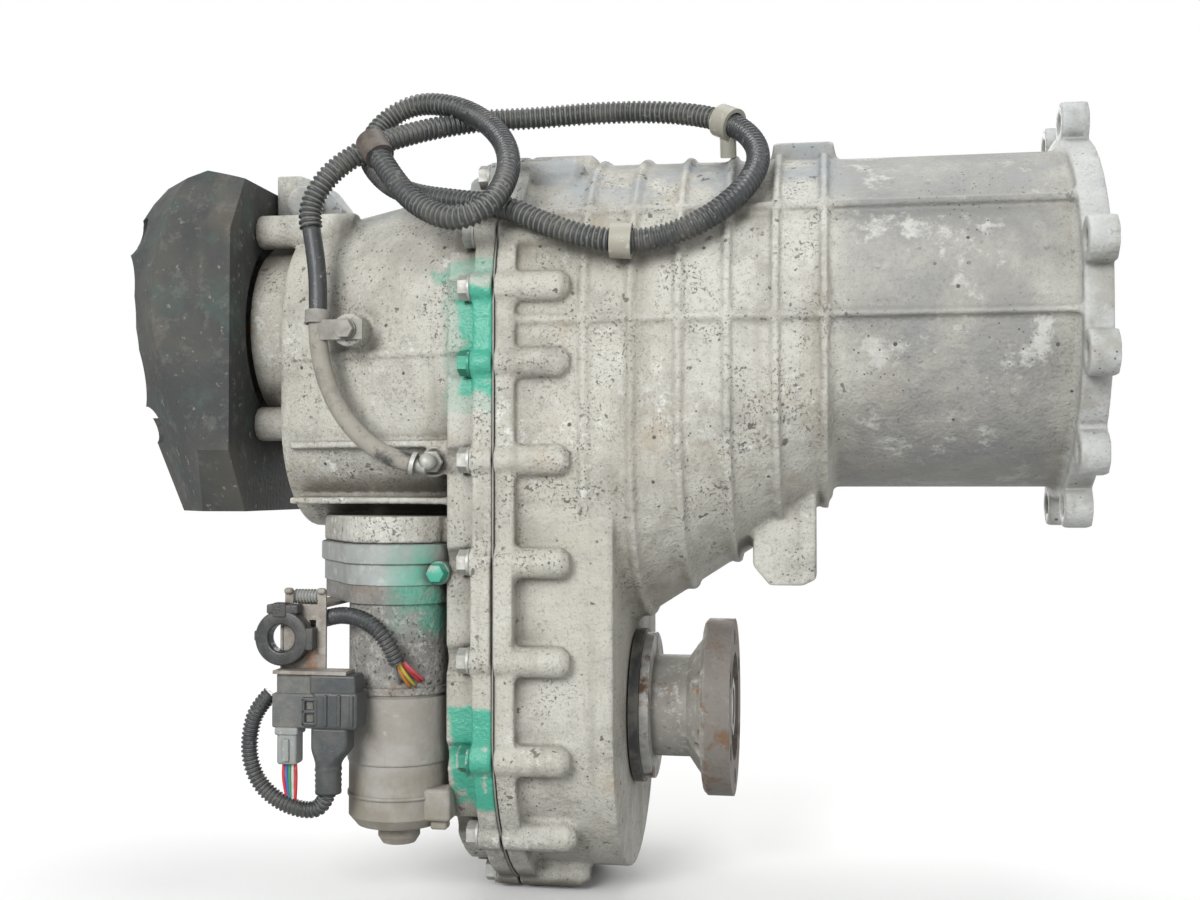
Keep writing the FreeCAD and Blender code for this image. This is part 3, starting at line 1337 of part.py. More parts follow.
def make_damper():
    """A cast mass round the rear output: a faceted outline that draws in towards its sides."""
    face, back = number("nose_back"), number("damper_back")
    half, long = number("damper_half_width"), number("damper_back") - number("nose_back")
    # outline of the middle, and of the sides, which end further forward
    rear = [(49, 99), (34, 94), (24, 84), (14, 70), (6, 50), (0, 20), (0, -1), (3, -15), (47, -118)]
    wires = []
    for across, forward in ((-half, 50), (52 - half, 0), (half - 52, 0), (half, 50)):
        corners = [(-face, -118), (-face, 92)]
        corners += [(-back + along_x + forward, up) for along_x, up in rear]
        corners.append(corners[0])
        wires.append(Part.makePolygon([Vector(x, across, z) for x, z in corners]))
    profile = Part.makeLoft(wires, True, True)
    chamfer = [(-half, -80), (-half, 56), (-half + 34, 112), (half - 34, 112), (half, 56),
               (half, -80), (half - 30, -125), (-half + 30, -125)]
    section = prism([(-face + 1, across, up) for across, up in chamfer], (-long - 2, 0, 0))
    bore = cylinder(size("damper_bore"), long + 2, (-face + 1, 0, 0), (-1, 0, 0))
    holes = []
    sunk = face + 28
    for across, up in damper_spots():
        holes.append(cylinder(5.5, 60, (-face + 1, float(across), float(up)), (-1, 0, 0)))
        holes.append(cylinder(12, long, (-sunk, float(across), float(up)), (-1, 0, 0)))
    shaped("rear_damper", profile.common(section).cut([bore] + holes))
    bolts = []
    for across, up in damper_spots():
        at = (-sunk, float(across), float(up))
        bolts.append(flange_bolt(5, sunk - face + 20, 16, at, (1, 0, 0)))
    group("damper_bolts", bolts)


# ---------------------------------------------------------------- cords and their fittings


def cord(label, points, radius):
    """A round cord: straight runs joined by tangent arcs as large as the runs allow."""
    spots = [Vector(*point) for point in points]
    edges = []
    start = spots[0]
    length = 0.0
    radii = []
    for before, corner, after in zip(spots, spots[1:], spots[2:]):
        one, two = (before - corner), (after - corner)
        run_in, run_out = one.Length, two.Length
        one.normalize()
        two.normalize()
        turn = math.pi - one.getAngle(two)
        setback = 0.45 * min(run_in, run_out)
        bend = setback / math.tan(turn / 2)
        radii.append(round(bend))
        inward = one + two
        inward.normalize()
        centre_gap = math.hypot(bend, setback)
        middle = corner + inward * (centre_gap - bend)
        first, last = corner + one * setback, corner + two * setback
        edges.append(Part.makeLine(start, first))
        edges.append(Part.Arc(first, middle, last).toShape())
        length += (first - start).Length + bend * turn
        start = last
    edges.append(Part.makeLine(start, spots[-1]))
    length += (spots[-1] - start).Length
    path = Part.Wire(edges)
    way = spots[1] - spots[0]
    section = Part.Wire([Part.makeCircle(float(radius), spots[0], way)])
    tube = path.makePipeShell([section], True, False)
    expected = math.pi * float(radius) ** 2 * length
    print(f"{label}: {length:.1f} mm, smallest bend {min(radii)} mm, volume / section x length "
          f"{tube.Volume / expected:.4f}")
    shaped(label, tube)


HOSE = [(-391, -113, -89), (-403, -114, -86), (-420, -112, -76), (-437, -106, -59),
        (-450, -99, -36), (-455, -97, -12), (-455, -95, 10), (-457, -93, 34), (-461, -92, 54)]
CONDUIT = [(-461.1, -92, 54.4), (-463, -91.5, 64), (-457, -90, 79), (-446, -86, 93), (-427, -77, 107), (-402, -60, 119),
           (-370, -44, 128), (-335, -36, 130), (-296, -32, 133), (-256, -32, 132),
           (-224, -38, 126), (-201, -54, 113), (-190, -76, 91), (-199, -97, 67),
           (-222, -109, 47), (-252, -113, 36), (-284, -114, 38), (-313, -113, 48),
           (-337, -109, 60), (-368, -103, 65), (-396, -94, 71), (-419, -79, 83),
           (-437, -62, 104), (-434, -48, 126), (-412, -44, 141), (-384, -50, 137),
           (-360, -64, 123), (-341, -86, 102), (-333, -112, 78), (-340, -130, 56),
           (-360, -133, 47), (-384, -125, 58), (-402, -115, 76), (-413, -107, 92)]
PLUG_LOOP = [(-473, -121, -223), (-481, -121.5, -231), (-485, -122, -245), (-485, -122.5, -260),
             (-479, -123, -274), (-467, -123, -283), (-452, -122.5, -286), (-441, -121.5, -277)]
MOTOR_CONDUIT = [(-454, -105, -183), (-440, -109, -178), (-426, -116, -177), (-412, -121, -181),
                 (-402, -122, -191), (-397, -119, -204)]


def along(first, second):
    way = Vector(*second) - Vector(*first)
    way.normalize()
    return way


def make_cords():
    cord("breather_hose", HOSE, size("hose_radius"))
    cord("breather_conduit", CONDUIT, size("conduit_radius"))
    cord("plug_conduit", PLUG_LOOP, size("wire_conduit_radius"))
    cord("motor_conduit", MOTOR_CONDUIT, size("wire_conduit_radius"))


def make_breather_fittings():
    hose_side = -HOSE[0][1]
    # nozzle: a stem in the cover's boss, an elbow and a collar that the hose meets
    x, z = -382, -88
    stem = cylinder(4, hose_side - 90, (x, -90, z), (0, -1, 0))
    foot = hexagon(12, 3, (x, -102, z), (0, -1, 0))
    start, step = HOSE[0], HOSE[1]
    way = along(start, step)
    tip = Vector(*start)
    arm = cylinder(4, 9, tip, way * -1)
    collar = cylinder(7, 2.5, tip, way * -1)
    bead = Part.makeSphere(5, Vector(x, -hose_side, z))
    shaped("breather_nozzle", stem.fuse([foot, arm, collar, bead]))
    # cap on the free end of the conduit
    way = along(CONDUIT[-2], CONDUIT[-1])
    tip = Vector(*CONDUIT[-1])
    barrel = cylinder(number("conduit_radius") + 2, 15, tip, way)
    dome = cylinder(number("conduit_radius") - 1, 18, tip, way)
    shaped("conduit_end_cap", barrel.fuse(dome))


def cord_clip(first, second, radius, reach, width=12):
    """A band round the middle of a straight run, with a stem that stands on the casting."""
    start, end = Vector(*first), Vector(*second)
    way = along(first, second)
    middle = (start + end) * 0.5
    inner = radius + 2 * number("seat_gap")
    band = cylinder(inner + 2.5, width, middle - way * (width / 2), way)
    share = reach / math.hypot(middle.y, middle.z)
    foot = Vector(middle.x, middle.y * share, middle.z * share)
    stem = cylinder(5, (middle - foot).Length, foot, middle - foot)
    hole = cylinder(inner, width * 3, middle - way * (width * 1.5), way)
    return band.fuse(stem).cut(hole)


def make_clips():
    radius = number("conduit_radius")
    reach = number("housing_radius") + number("rib_height") + number("seat_gap")
    runs = [(CONDUIT[10], CONDUIT[11]), (CONDUIT[15], CONDUIT[16])]
    group("conduit_clips", [cord_clip(*run, radius, reach) for run in runs])
    # hose clip: a band and a tab under one bolt
    way = along(HOSE[5], HOSE[6])
    middle = (Vector(*HOSE[5]) + Vector(*HOSE[6])) * 0.5
    inner = number("hose_radius") + 2.5 * number("seat_gap")
    band = cylinder(inner + 1.5, 8, middle - way * 4, way)
    tab = block((-454, -102.3, -15), (-425, -100.3, -3))
    hole = cylinder(inner, 60, middle - way * 30, way)
    bolt_hole = cylinder(3 + 0.5, 20, (-435, -110, -9), (0, 1, 0))
    shaped("hose_clip", band.fuse(tab).cut([hole, bolt_hole]))
    group("clip_bolt", [flange_bolt(3, 18, 10, (-435, -102.3, -9), (0, 1, 0))])


def make_wiring():
    # bent bracket: a tab under the servo's base plate, an upright plate, a foot and prongs
    under = -number("servo_top") - number("servo_plate")
    tab = block((-460, -117, under - 2), (-442, -62, under))
    plate = block((-468, -117, -208), (-441, -115, under))
    foot = block((-468, -130, -210), (-424, -115, -208))
    slot = block((-451, -118, -190), (-447, -114, -180))
    prongs = [block((x, -117, under - 1), (x + 5, -115, under + 8)) for x in (-466, -446)]
    shaped("wiring_bracket", tab.fuse([plate, foot] + prongs).cut(slot))
    clip = cylinder(16, 7, (-465, -117, -190), (0, -1, 0))
    clip = clip.cut(cylinder(8, 7, (-465, -117, -190), (0, -1, 0)))
    shaped("cable_clip", clip)
    block_shape = block((-469, -131, -241), (-417, -114, -210))
    step = block((-470, -132, -228), (-440, -128, -209))
    shaped("connector_block", block_shape.cut(step))
    plug = block((-466, -129, -262), (-454, -117, -241))
    shaped("connector_plug", plug)
    boot = block((-446, -129, -260), (-424, -115, -241))
    way = along(PLUG_LOOP[-2], PLUG_LOOP[-1])
    tip = Vector(*PLUG_LOOP[-1])
    sleeve = cylinder(number("wire_conduit_radius") + 2, 22, tip, way)
    shaped("connector_boot", boot.fuse(sleeve))


# ---------------------------------------------------------------- build and write

make_front_case()
make_rear_cover()
make_gasket()
make_case_bolts()
make_plugs()
make_input_shaft()
make_planets()
make_ring_gear()
make_carrier()
make_main_shaft()
make_seals_and_bearings()
make_front_output()
make_output_flanges()
sprocket("drive_sprocket", size("main_radius"), 0)
sprocket("driven_sprocket", size("front_shaft_radius"), -size("output_drop"))
make_chain()
make_clutch()
make_oil_pump()
make_range_change()
make_servo()
make_damper()
make_cords()
make_breather_fittings()
make_clips()
make_wiring()

NODES = [
    "front_case", "rear_cover", "case_gasket", "case_bolts", "oil_plugs",
    "input_shaft", "input_bearing", "input_seal", "ring_gear", "planet_carrier",
    "planet_gear_1", "planet_gear_2", "planet_gear_3", "range_sleeve", "shift_fork",
    "shift_rail", "range_cam", "main_shaft", "clutch_drum", "clutch_discs",
    "pressure_plate", "drive_sprocket", "drive_chain", "driven_sprocket",
    "front_output_shaft", "front_bearing", "front_end_bearing", "front_seal",
    "front_dust_ring", "front_output_flange", "front_flange_nut", "oil_pump",
    "oil_pump_rotor", "rear_bearing", "rear_seal", "rear_output_flange",
    "rear_flange_nut", "rear_damper", "damper_bolts", "servo_gear_housing",
    "servo_base_plate", "servo_body", "servo_can", "servo_end_cap", "servo_armature",
    "servo_output_gear", "wiring_bracket", "cable_clip", "connector_block",
    "connector_plug", "connector_boot", "plug_conduit", "motor_conduit",
    "breather_nozzle", "breather_hose", "breather_conduit", "conduit_end_cap",
    "conduit_clips", "hose_clip", "clip_bolt",
]

DOC.recompute()
failed = [item.Label for item in DOC.Objects if {"Invalid", "Error"} & set(item.State)]
if failed:
    raise RuntimeError(f"these did not build: {failed}")

pieces = {label: DOC.getObjectsByLabel(label)[0] for label in NODES}
for label, piece in pieces.items():
    if piece.Shape.isNull() or not piece.Shape.isValid() or not piece.Shape.Solids:
        raise RuntimeError(f"{label} has no valid solid")

os.makedirs("parts", exist_ok=True)
for label, piece in pieces.items():
    piece.Shape.exportStep(f"parts/{label}.step")
print(len(pieces), "pieces written")
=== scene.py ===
"""Looks for the transfer case: a cast aluminium housing in two halves, a servo, a rear damper
and the breather and wiring conduits. Metres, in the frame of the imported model."""

import bmesh
import bpy
import math

import numpy as np
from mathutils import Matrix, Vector


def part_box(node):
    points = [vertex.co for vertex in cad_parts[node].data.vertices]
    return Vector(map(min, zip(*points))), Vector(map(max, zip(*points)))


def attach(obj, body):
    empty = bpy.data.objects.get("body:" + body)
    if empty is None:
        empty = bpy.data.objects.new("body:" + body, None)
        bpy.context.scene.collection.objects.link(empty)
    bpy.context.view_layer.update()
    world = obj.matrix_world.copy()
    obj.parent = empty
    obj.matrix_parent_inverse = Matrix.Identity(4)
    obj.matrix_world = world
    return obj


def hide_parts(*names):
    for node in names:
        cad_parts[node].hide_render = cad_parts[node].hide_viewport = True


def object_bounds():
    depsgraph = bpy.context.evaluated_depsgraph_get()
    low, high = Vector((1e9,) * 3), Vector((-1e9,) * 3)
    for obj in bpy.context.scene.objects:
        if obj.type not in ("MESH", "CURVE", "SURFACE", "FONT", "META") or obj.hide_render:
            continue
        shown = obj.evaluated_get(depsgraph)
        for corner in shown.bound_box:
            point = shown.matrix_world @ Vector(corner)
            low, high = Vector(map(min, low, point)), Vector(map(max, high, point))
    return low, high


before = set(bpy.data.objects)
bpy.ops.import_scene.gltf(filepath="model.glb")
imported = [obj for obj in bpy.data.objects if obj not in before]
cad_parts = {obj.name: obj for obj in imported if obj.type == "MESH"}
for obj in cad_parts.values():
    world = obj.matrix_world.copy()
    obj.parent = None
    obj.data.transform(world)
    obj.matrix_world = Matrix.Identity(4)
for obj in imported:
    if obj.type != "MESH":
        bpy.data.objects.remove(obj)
bpy.context.scene.view_settings.view_transform = "Standard"
cad_low, cad_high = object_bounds()
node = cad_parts
FLOOR = cad_low.z - 0.001
FLOOR_HALF = 12
SENSOR_WIDTH = 36
FOCAL_PIXELS, IMAGE_PIXELS = 1387, 1200  # focal length and image width, in pixels
CAMERA_PLACE = (-0.152, -0.888, -0.103)
CAMERA_YAW, CAMERA_RISE = math.radians(9.4), math.radians(1.55)
SKY_LIGHT = 0.34
WELD = 1e-6

# ---------------------------------------------------------------- camera, light and floor


def linked(name, data):
    """A new object of the scene."""
    made = bpy.data.objects.new(name, data)
    bpy.context.scene.collection.objects.link(made)
    return made


def make_camera():
    """A camera level with the middle of the case, a little round to the front end."""
    lens = bpy.data.cameras.new("camera")
    lens.sensor_width = SENSOR_WIDTH
    lens.lens = SENSOR_WIDTH * FOCAL_PIXELS / IMAGE_PIXELS
    camera = linked("camera", lens)
    camera.location = CAMERA_PLACE
    level = math.cos(CAMERA_RISE)
    look = Vector((-math.sin(CAMERA_YAW) * level, math.cos(CAMERA_YAW) * level, math.sin(CAMERA_RISE)))
    camera.rotation_mode = "QUATERNION"
    camera.rotation_quaternion = look.to_track_quat("-Z", "Y")
    lens.clip_start = 0.01
    bpy.context.scene.camera = camera


def make_lamp(name, place, aim, across, watts):
    """A soft round lamp that faces a point."""
    lamp = bpy.data.lights.new(name, "AREA")
    lamp.shape, lamp.size, lamp.energy = "DISK", across, watts
    made = linked(name, lamp)
    made.location = place
    made.rotation_mode = "QUATERNION"
    made.rotation_quaternion = (Vector(aim) - Vector(place)).to_track_quat("-Z", "Y")


def make_world():
    """White to the camera and in reflections, a soft grey light to everything else."""
    world = bpy.data.worlds.new("world")
    bpy.context.scene.world = world
    world.use_nodes = True
    tree = world.node_tree
    back = tree.nodes["Background"]
    path = tree.nodes.new("ShaderNodeLightPath")
    seen = path.outputs["Is Camera Ray"]
    for other in ("Is Glossy Ray", "Is Transmission Ray"):
        either = tree.nodes.new("ShaderNodeMath")
        either.operation = "MAXIMUM"
        tree.links.new(seen, either.inputs[0])
        tree.links.new(path.outputs[other], either.inputs[1])
        seen = either.outputs[0]
    level = tree.nodes.new("ShaderNodeMapRange")
    level.inputs["To Min"].default_value = SKY_LIGHT
    level.inputs["To Max"].default_value = 1.0
    tree.links.new(seen, level.inputs["Value"])
    tree.links.new(level.outputs["Result"], back.inputs["Strength"])
    back.inputs["Color"].default_value = (1, 1, 1, 1)


def grid_mesh(name, points, closed=False, smooth=True):
    """A mesh from a grid of points (rows, columns, 3): each cell is one face, and a closed grid
    joins its last column to its first."""
    rows, columns = points.shape[:2]
    index = np.arange(rows * columns).reshape(rows, columns)
    if closed:
        index = np.hstack([index, index[:, :1]])
    faces = np.stack([index[:-1, :-1], index[1:, :-1], index[1:, 1:], index[:-1, 1:]], -1)
    mesh = bpy.data.meshes.new(name)
    mesh.from_pydata(points.reshape(-1, 3), [], faces.reshape(-1, 4))
    mesh.polygons.foreach_set("use_smooth", np.full(len(mesh.polygons), smooth))
    mesh.update()
    return mesh


def piece(name, mesh):
    """A new object at the origin that moves with the housing."""
    made = linked(name, mesh)
    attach(made, "housing")
    return made


# ---------------------------------------------------------------- finishes


class Finish:
    """One procedural finish. Its patterns are in object coordinates, in metres."""

    def __init__(self, name, colour, roughness, metallic=0.0):
        self.material = bpy.data.materials.new(name)
        self.material.use_nodes = True
        self.tree = self.material.node_tree
        self.shader = self.tree.nodes["Principled BSDF"]
        self.shader.inputs["Metallic"].default_value = metallic
        self.place = self.tree.nodes.new("ShaderNodeTexCoord").outputs["Object"]
        self.colour, self.roughness, self.normal = (*colour, 1), roughness, None

    def node(self, kind, out, settings=(), **inputs):
        """A node with its settings and inputs; the result is its output socket."""
        made = self.tree.nodes.new("ShaderNode" + kind)
        for key, value in dict(settings).items():
            setattr(made, key, value)
        for key, value in inputs.items():
            socket = made.inputs[int(key[1:])] if key[0] == "n" and key[1:].isdigit() \
                else made.inputs[key.replace("_", " ")]
            if isinstance(value, bpy.types.NodeSocket):
                self.tree.links.new(value, socket)
            else:
                socket.default_value = value
        return made.outputs[out]

    def math(self, operation, first, second=0.0):
        return self.node("Math", 0, {"operation": operation}, n0=first, n1=second)

    def step(self, value, low, high):
        """0 below low, 1 above high and a smooth step between."""
        return self.node("MapRange", 0, {"interpolation_type": "SMOOTHSTEP"},
                         Value=value, From_Min=low, From_Max=high)

    def noise(self, scale, low=0.4, high=0.6, detail=5, stretch=None, rough=0.6):
        """Patches: noise of that many cells a metre, cut to between low and high."""
        place = self.place
        if stretch:
            place = self.node("Mapping", 0, Vector=place, Scale=stretch)
        field = self.node("TexNoise", 0, Vector=place, Scale=scale, Detail=detail, Roughness=rough)
        return self.step(field, low, high)

    def dots(self, scale, size):
        """Specks: 1 within size of the middles of random cells."""
        field = self.node("TexVoronoi", "Distance", Vector=self.place, Scale=scale)
        return self.math("SUBTRACT", 1.0, self.step(field, size * 0.6, size))

    def zone(self, low, high, soft=0.01, wander=0.0):
        """1 inside a box with soft faces that wander by a noise."""
        place = self.place
        if wander:
            shift = self.node("TexNoise", 1, Vector=self.place, Scale=45.0, Detail=4.0)
            shift = self.node("VectorMath", 0, {"operation": "SUBTRACT"}, n0=shift, n1=(0.5, 0.5, 0.5))
            shift = self.node("VectorMath", 0, {"operation": "SCALE"}, n0=shift, Scale=wander)
            place = self.node("VectorMath", 0, {"operation": "ADD"}, n0=place, n1=shift)
        split = self.tree.nodes.new("ShaderNodeSeparateXYZ")
        self.tree.links.new(place, split.inputs[0])
        inside = 1.0
        for axis in range(3):
            if low[axis] is not None:
                over = self.step(split.outputs[axis], low[axis] - soft, low[axis] + soft)
                inside = self.math("MULTIPLY", over, inside)
            if high[axis] is not None:
                over = self.step(split.outputs[axis], high[axis] - soft, high[axis] + soft)
                inside = self.math("MULTIPLY", self.math("SUBTRACT", 1.0, over), inside)
        return inside

    def corners(self, reach):
        """1 in corners and under edges nearer than reach, 0 in the open."""
        open_share = self.node("AmbientOcclusion", "AO", {"samples": 4}, Distance=reach)
        return self.math("SUBTRACT", 1.0, self.step(open_share, 0.35, 0.85))

    def edges(self, low=0.52, high=0.58):
        """1 along outside edges of a dense mesh."""
        bend = self.tree.nodes.new("ShaderNodeNewGeometry").outputs["Pointiness"]
        return self.step(bend, low, high)

    def both(self, first, second):
        return self.math("MULTIPLY", first, second)

    def paint(self, share, colour, roughness=None):
        """Lays a colour over what is there, by share."""
        self.colour = self.node("Mix", 2, {"data_type": "RGBA"}, n0=share, n6=self.colour,
                                n7=(*colour, 1))
        if roughness is not None:
            self.roughness = self.node("Mix", 0, {"data_type": "FLOAT"}, n0=share,
                                       n2=self.roughness, n3=roughness)

    def relief(self, scale, detail, depth):
        """Raises the surface by a noise of that many cells a metre, up to depth in metres."""
        height = self.node("TexNoise", 0, Vector=self.place, Scale=scale, Detail=detail)
        inputs = {"Height": height, "Distance": depth, "Strength": 1.0}
        if self.normal is not None:
            inputs["Normal"] = self.normal
        self.normal = self.node("Bump", 0, **inputs)

    def done(self):
        """The material, with its colour, roughness and relief joined to the shader."""
        for socket, value in (("Base Color", self.colour), ("Roughness", self.roughness),
                              ("Normal", self.normal)):
            if isinstance(value, bpy.types.NodeSocket):
                self.tree.links.new(value, self.shader.inputs[socket])
            elif value is not None:
                self.shader.inputs[socket].default_value = value
        return self.material


GREEN = (0.045, 0.305, 0.21)


def cast_aluminium(name, tone=(0.485, 0.48, 0.435), green=(), dark_front=False):
    """Sand-cast aluminium, weathered: warm stains, grey grime, white oxide flecks, dark pits,
    drips that run down, pale rubbed edges that are partly a painted highlight, a painted
    cool grey shade over the upper part and grime with painted shade in the corners."""
    cast = Finish(name, tone, 0.66)
    cast.paint(cast.noise(7, 0.38, 0.66, detail=6), (0.40, 0.385, 0.33))
    cast.paint(cast.both(cast.noise(22, 0.44, 0.66, detail=9, rough=0.72), 0.85), (0.295, 0.288, 0.255))
    cast.paint(cast.both(cast.noise(17, 0.5, 0.64, detail=6), cast.noise(170, 0.5, 0.62, rough=0.75)),
               (0.60, 0.605, 0.575), 0.8)
    cast.paint(cast.both(cast.noise(420, 0.53, 0.66, rough=0.7), 0.75), (0.25, 0.243, 0.215))
    peppered = cast.noise(26, 0.48, 0.6, detail=4)
    cast.paint(cast.both(cast.noise(520, 0.55, 0.61), peppered), (0.115, 0.11, 0.095))
    cast.paint(cast.both(cast.noise(900, 0.6, 0.66), 0.8), (0.15, 0.145, 0.12))
    cast.paint(cast.both(cast.noise(16, 0.56, 0.7, detail=5), 0.6), (0.33, 0.28, 0.20))
    # Painted shade: a cool grey over the upper part of the casting, where the tops fall darker in this
    # light.
    above = cast.zone((None, None, 0.065), (None, None, None), 0.012)
    cast.paint(cast.both(above, cast.noise(30, 0.38, 0.6, detail=8)), (0.27, 0.29, 0.295))
    cast.paint(cast.both(cast.noise(120, 0.66, 0.70, detail=3), 0.9), (0.085, 0.08, 0.07))
    drips = cast.noise(55, 0.5, 0.7, detail=5, stretch=(1, 1, 0.1))
    cast.paint(cast.both(drips, 0.55), (0.25, 0.235, 0.195))
    if dark_front:
        tube = cast.zone((-0.145, None, None), (-0.022, None, None), 0.012)
        cast.paint(cast.both(tube, 0.4), (0.30, 0.29, 0.25), 0.65)
        cast.paint(cast.both(tube, cast.noise(13, 0.28, 0.62, detail=10, rough=0.7)),
                   (0.21, 0.212, 0.205), 0.55)
        cast.paint(cast.both(tube, cast.noise(34, 0.54, 0.66, detail=9, rough=0.75)),
                   (0.47, 0.47, 0.44), 0.8)
        rim = cast.zone((-0.017, None, None), (None, None, None), 0.003)
        cast.paint(cast.both(rim, 0.6), (0.43, 0.45, 0.46), 0.45)
        cast.paint(cast.both(rim, cast.noise(30, 0.5, 0.64, detail=7)), (0.30, 0.30, 0.27), 0.6)
    cast.paint(cast.both(cast.dots(75, 0.11), cast.noise(33, 0.5, 0.56)), (0.055, 0.05, 0.045), 0.5)
    cast.paint(cast.both(cast.dots(230, 0.17), cast.noise(21, 0.5, 0.58)), (0.08, 0.075, 0.065), 0.5)
    # Grime and painted shade: brown-grey darkening in corners and under edges, by occlusion.
    cast.paint(cast.both(cast.corners(0.020), cast.noise(34, 0.1, 0.5)), (0.115, 0.105, 0.085), 0.85)
    # Pale rubbed edges, partly wear and partly a painted highlight along the outside edges.
    cast.paint(cast.both(cast.edges(), 0.5), (0.58, 0.58, 0.545), 0.5)
    for low, high, share in green:
        daub = cast.zone(low, high, 0.002, 0.02)
        cast.paint(cast.both(cast.both(daub, share), cast.noise(70, 0.3, 0.42, detail=8)), GREEN, 0.38)
    cast.relief(520.0, 6.0, 0.0007)
    cast.relief(90.0, 4.0, 0.0016)
    return cast.done()


def steel(name, tone, rust=0.0, roughness=0.4, grime=0.3, metallic=0.85, green=()):
    """Machined or plated steel, with rust blooms, grime and painted shade in the corners and daubs of
    green.
    """
    metal = Finish(name, tone, roughness, metallic)
    metal.paint(metal.noise(120, 0.35, 0.7), tuple(0.72 * x for x in tone), roughness + 0.12)
    if rust:
        metal.paint(metal.noise(38, 0.62 - 0.3 * rust, 0.74 - 0.25 * rust, rough=0.7),
                    (0.135, 0.085, 0.055), 0.85)
        metal.paint(metal.both(metal.noise(170, 0.52, 0.62), metal.noise(26, 0.53, 0.64)),
                    (0.30, 0.13, 0.045), 0.9)
    # Grime and painted shade: darker in corners and under edges, by occlusion, scaled by the grime
    # share.
    metal.paint(metal.both(metal.corners(0.006), grime), (0.09, 0.08, 0.065), 0.8)
    for low, high in green:
        daub = metal.zone(low, high, 0.001, 0.006)
        metal.paint(metal.both(daub, metal.noise(150, 0.3, 0.42)), (0.03, 0.20, 0.135), 0.5)
    metal.relief(500.0, 4.0, 0.00025)
    return metal.done()


def forging(name, disc_front, disc_back):
    """A dusty grey forged flange with brown specks; its disc, between two planes square to X,
    is darker and rustier."""
    metal = Finish(name, (0.33, 0.32, 0.29), 0.7, 0.15)
    metal.paint(metal.noise(30, 0.4, 0.65, detail=7), (0.22, 0.21, 0.19))
    metal.paint(metal.both(metal.noise(150, 0.52, 0.62, rough=0.7), 0.8), (0.45, 0.44, 0.41))
    disc = metal.zone((disc_back, None, None), (disc_front, None, None), 0.0015)
    metal.paint(metal.both(disc, 0.85), (0.15, 0.135, 0.12), 0.7)
    metal.paint(metal.both(disc, metal.noise(60, 0.52, 0.66, rough=0.7)), (0.17, 0.105, 0.065), 0.85)
    metal.paint(metal.both(metal.noise(90, 0.6, 0.68), 0.8), (0.17, 0.10, 0.06), 0.85)
    metal.paint(metal.both(metal.noise(45, 0.64, 0.7), 0.7), (0.34, 0.16, 0.05), 0.85)
    # Grime and painted shade: darker in corners and under edges, by occlusion.
    metal.paint(metal.both(metal.corners(0.008), 0.7), (0.08, 0.07, 0.06), 0.85)
    metal.relief(400.0, 6.0, 0.0006)
    return metal.done()


def bracket_steel():
    """Bare steel strip gone tan grey, with two blooms of rust."""
    metal = Finish("bracket_steel", (0.27, 0.25, 0.22), 0.62, 0.25)
    metal.paint(metal.noise(45, 0.42, 0.62, detail=6), (0.20, 0.18, 0.155))
    metal.paint(metal.both(metal.noise(150, 0.52, 0.62), 0.5), (0.36, 0.34, 0.31))
    metal.paint(metal.both(metal.noise(48, 0.58, 0.66), 0.8), (0.24, 0.12, 0.06), 0.85)
    # Grime and painted shade: darker in corners and under edges, by occlusion.
    metal.paint(metal.both(metal.corners(0.004), 0.7), (0.10, 0.085, 0.07), 0.85)
    metal.relief(500.0, 4.0, 0.0003)
    return metal.done()


def plastic(name, tone, dust=(0.23, 0.22, 0.19), dusty=0.35, roughness=0.5):
    """Moulded plastic or rubber with dust on it and a fine grain."""
    made = Finish(name, tone, roughness)
    made.paint(made.both(made.noise(55, 0.42, 0.66, rough=0.7), dusty), dust, 0.85)
    made.paint(made.both(made.corners(0.004), dusty * 1.4), dust, 0.9)
    made.paint(made.both(made.noise(240, 0.58, 0.66), 0.5), tuple(1.8 * x for x in tone), 0.6)
    made.relief(900.0, 3.0, 0.0002)
    return made.done()


def painted_damper():
    """Black paint over a cast block, with dull green and brown grime and dust on its ledges, and
    painted shade in its corners.
    """
    made = Finish("damper_paint", (0.024, 0.027, 0.027), 0.72)
    made.paint(made.noise(15, 0.42, 0.66, detail=8), (0.052, 0.052, 0.046), 0.75)
    runs = made.noise(26, 0.5, 0.7, stretch=(1, 1, 0.25))
    made.paint(made.both(runs, 0.7), (0.085, 0.075, 0.058), 0.8)
    made.paint(made.both(made.noise(34, 0.52, 0.66), 0.6), (0.035, 0.06, 0.052), 0.7)
    made.paint(made.both(made.noise(70, 0.52, 0.64, rough=0.75), 0.4), (0.12, 0.118, 0.105), 0.8)
    made.paint(made.both(made.noise(170, 0.62, 0.7), 0.6), (0.24, 0.23, 0.2), 0.8)
    # Grime and painted shade: darker in corners and under edges, by occlusion.
    made.paint(made.both(made.corners(0.01), 0.7), (0.02, 0.02, 0.018), 0.8)
    made.relief(320.0, 5.0, 0.0003)
    return made.done()


def overspray(made, softness=0.008):
    """Green paint thrown over the side of the servo that is next to the cover."""
    over = made.zone((-0.402, None, -0.188), (None, -0.04, -0.134), softness, 0.02)
    made.paint(made.both(made.both(over, 0.8), made.noise(60, 0.25, 0.65, detail=8)), GREEN, 0.5)


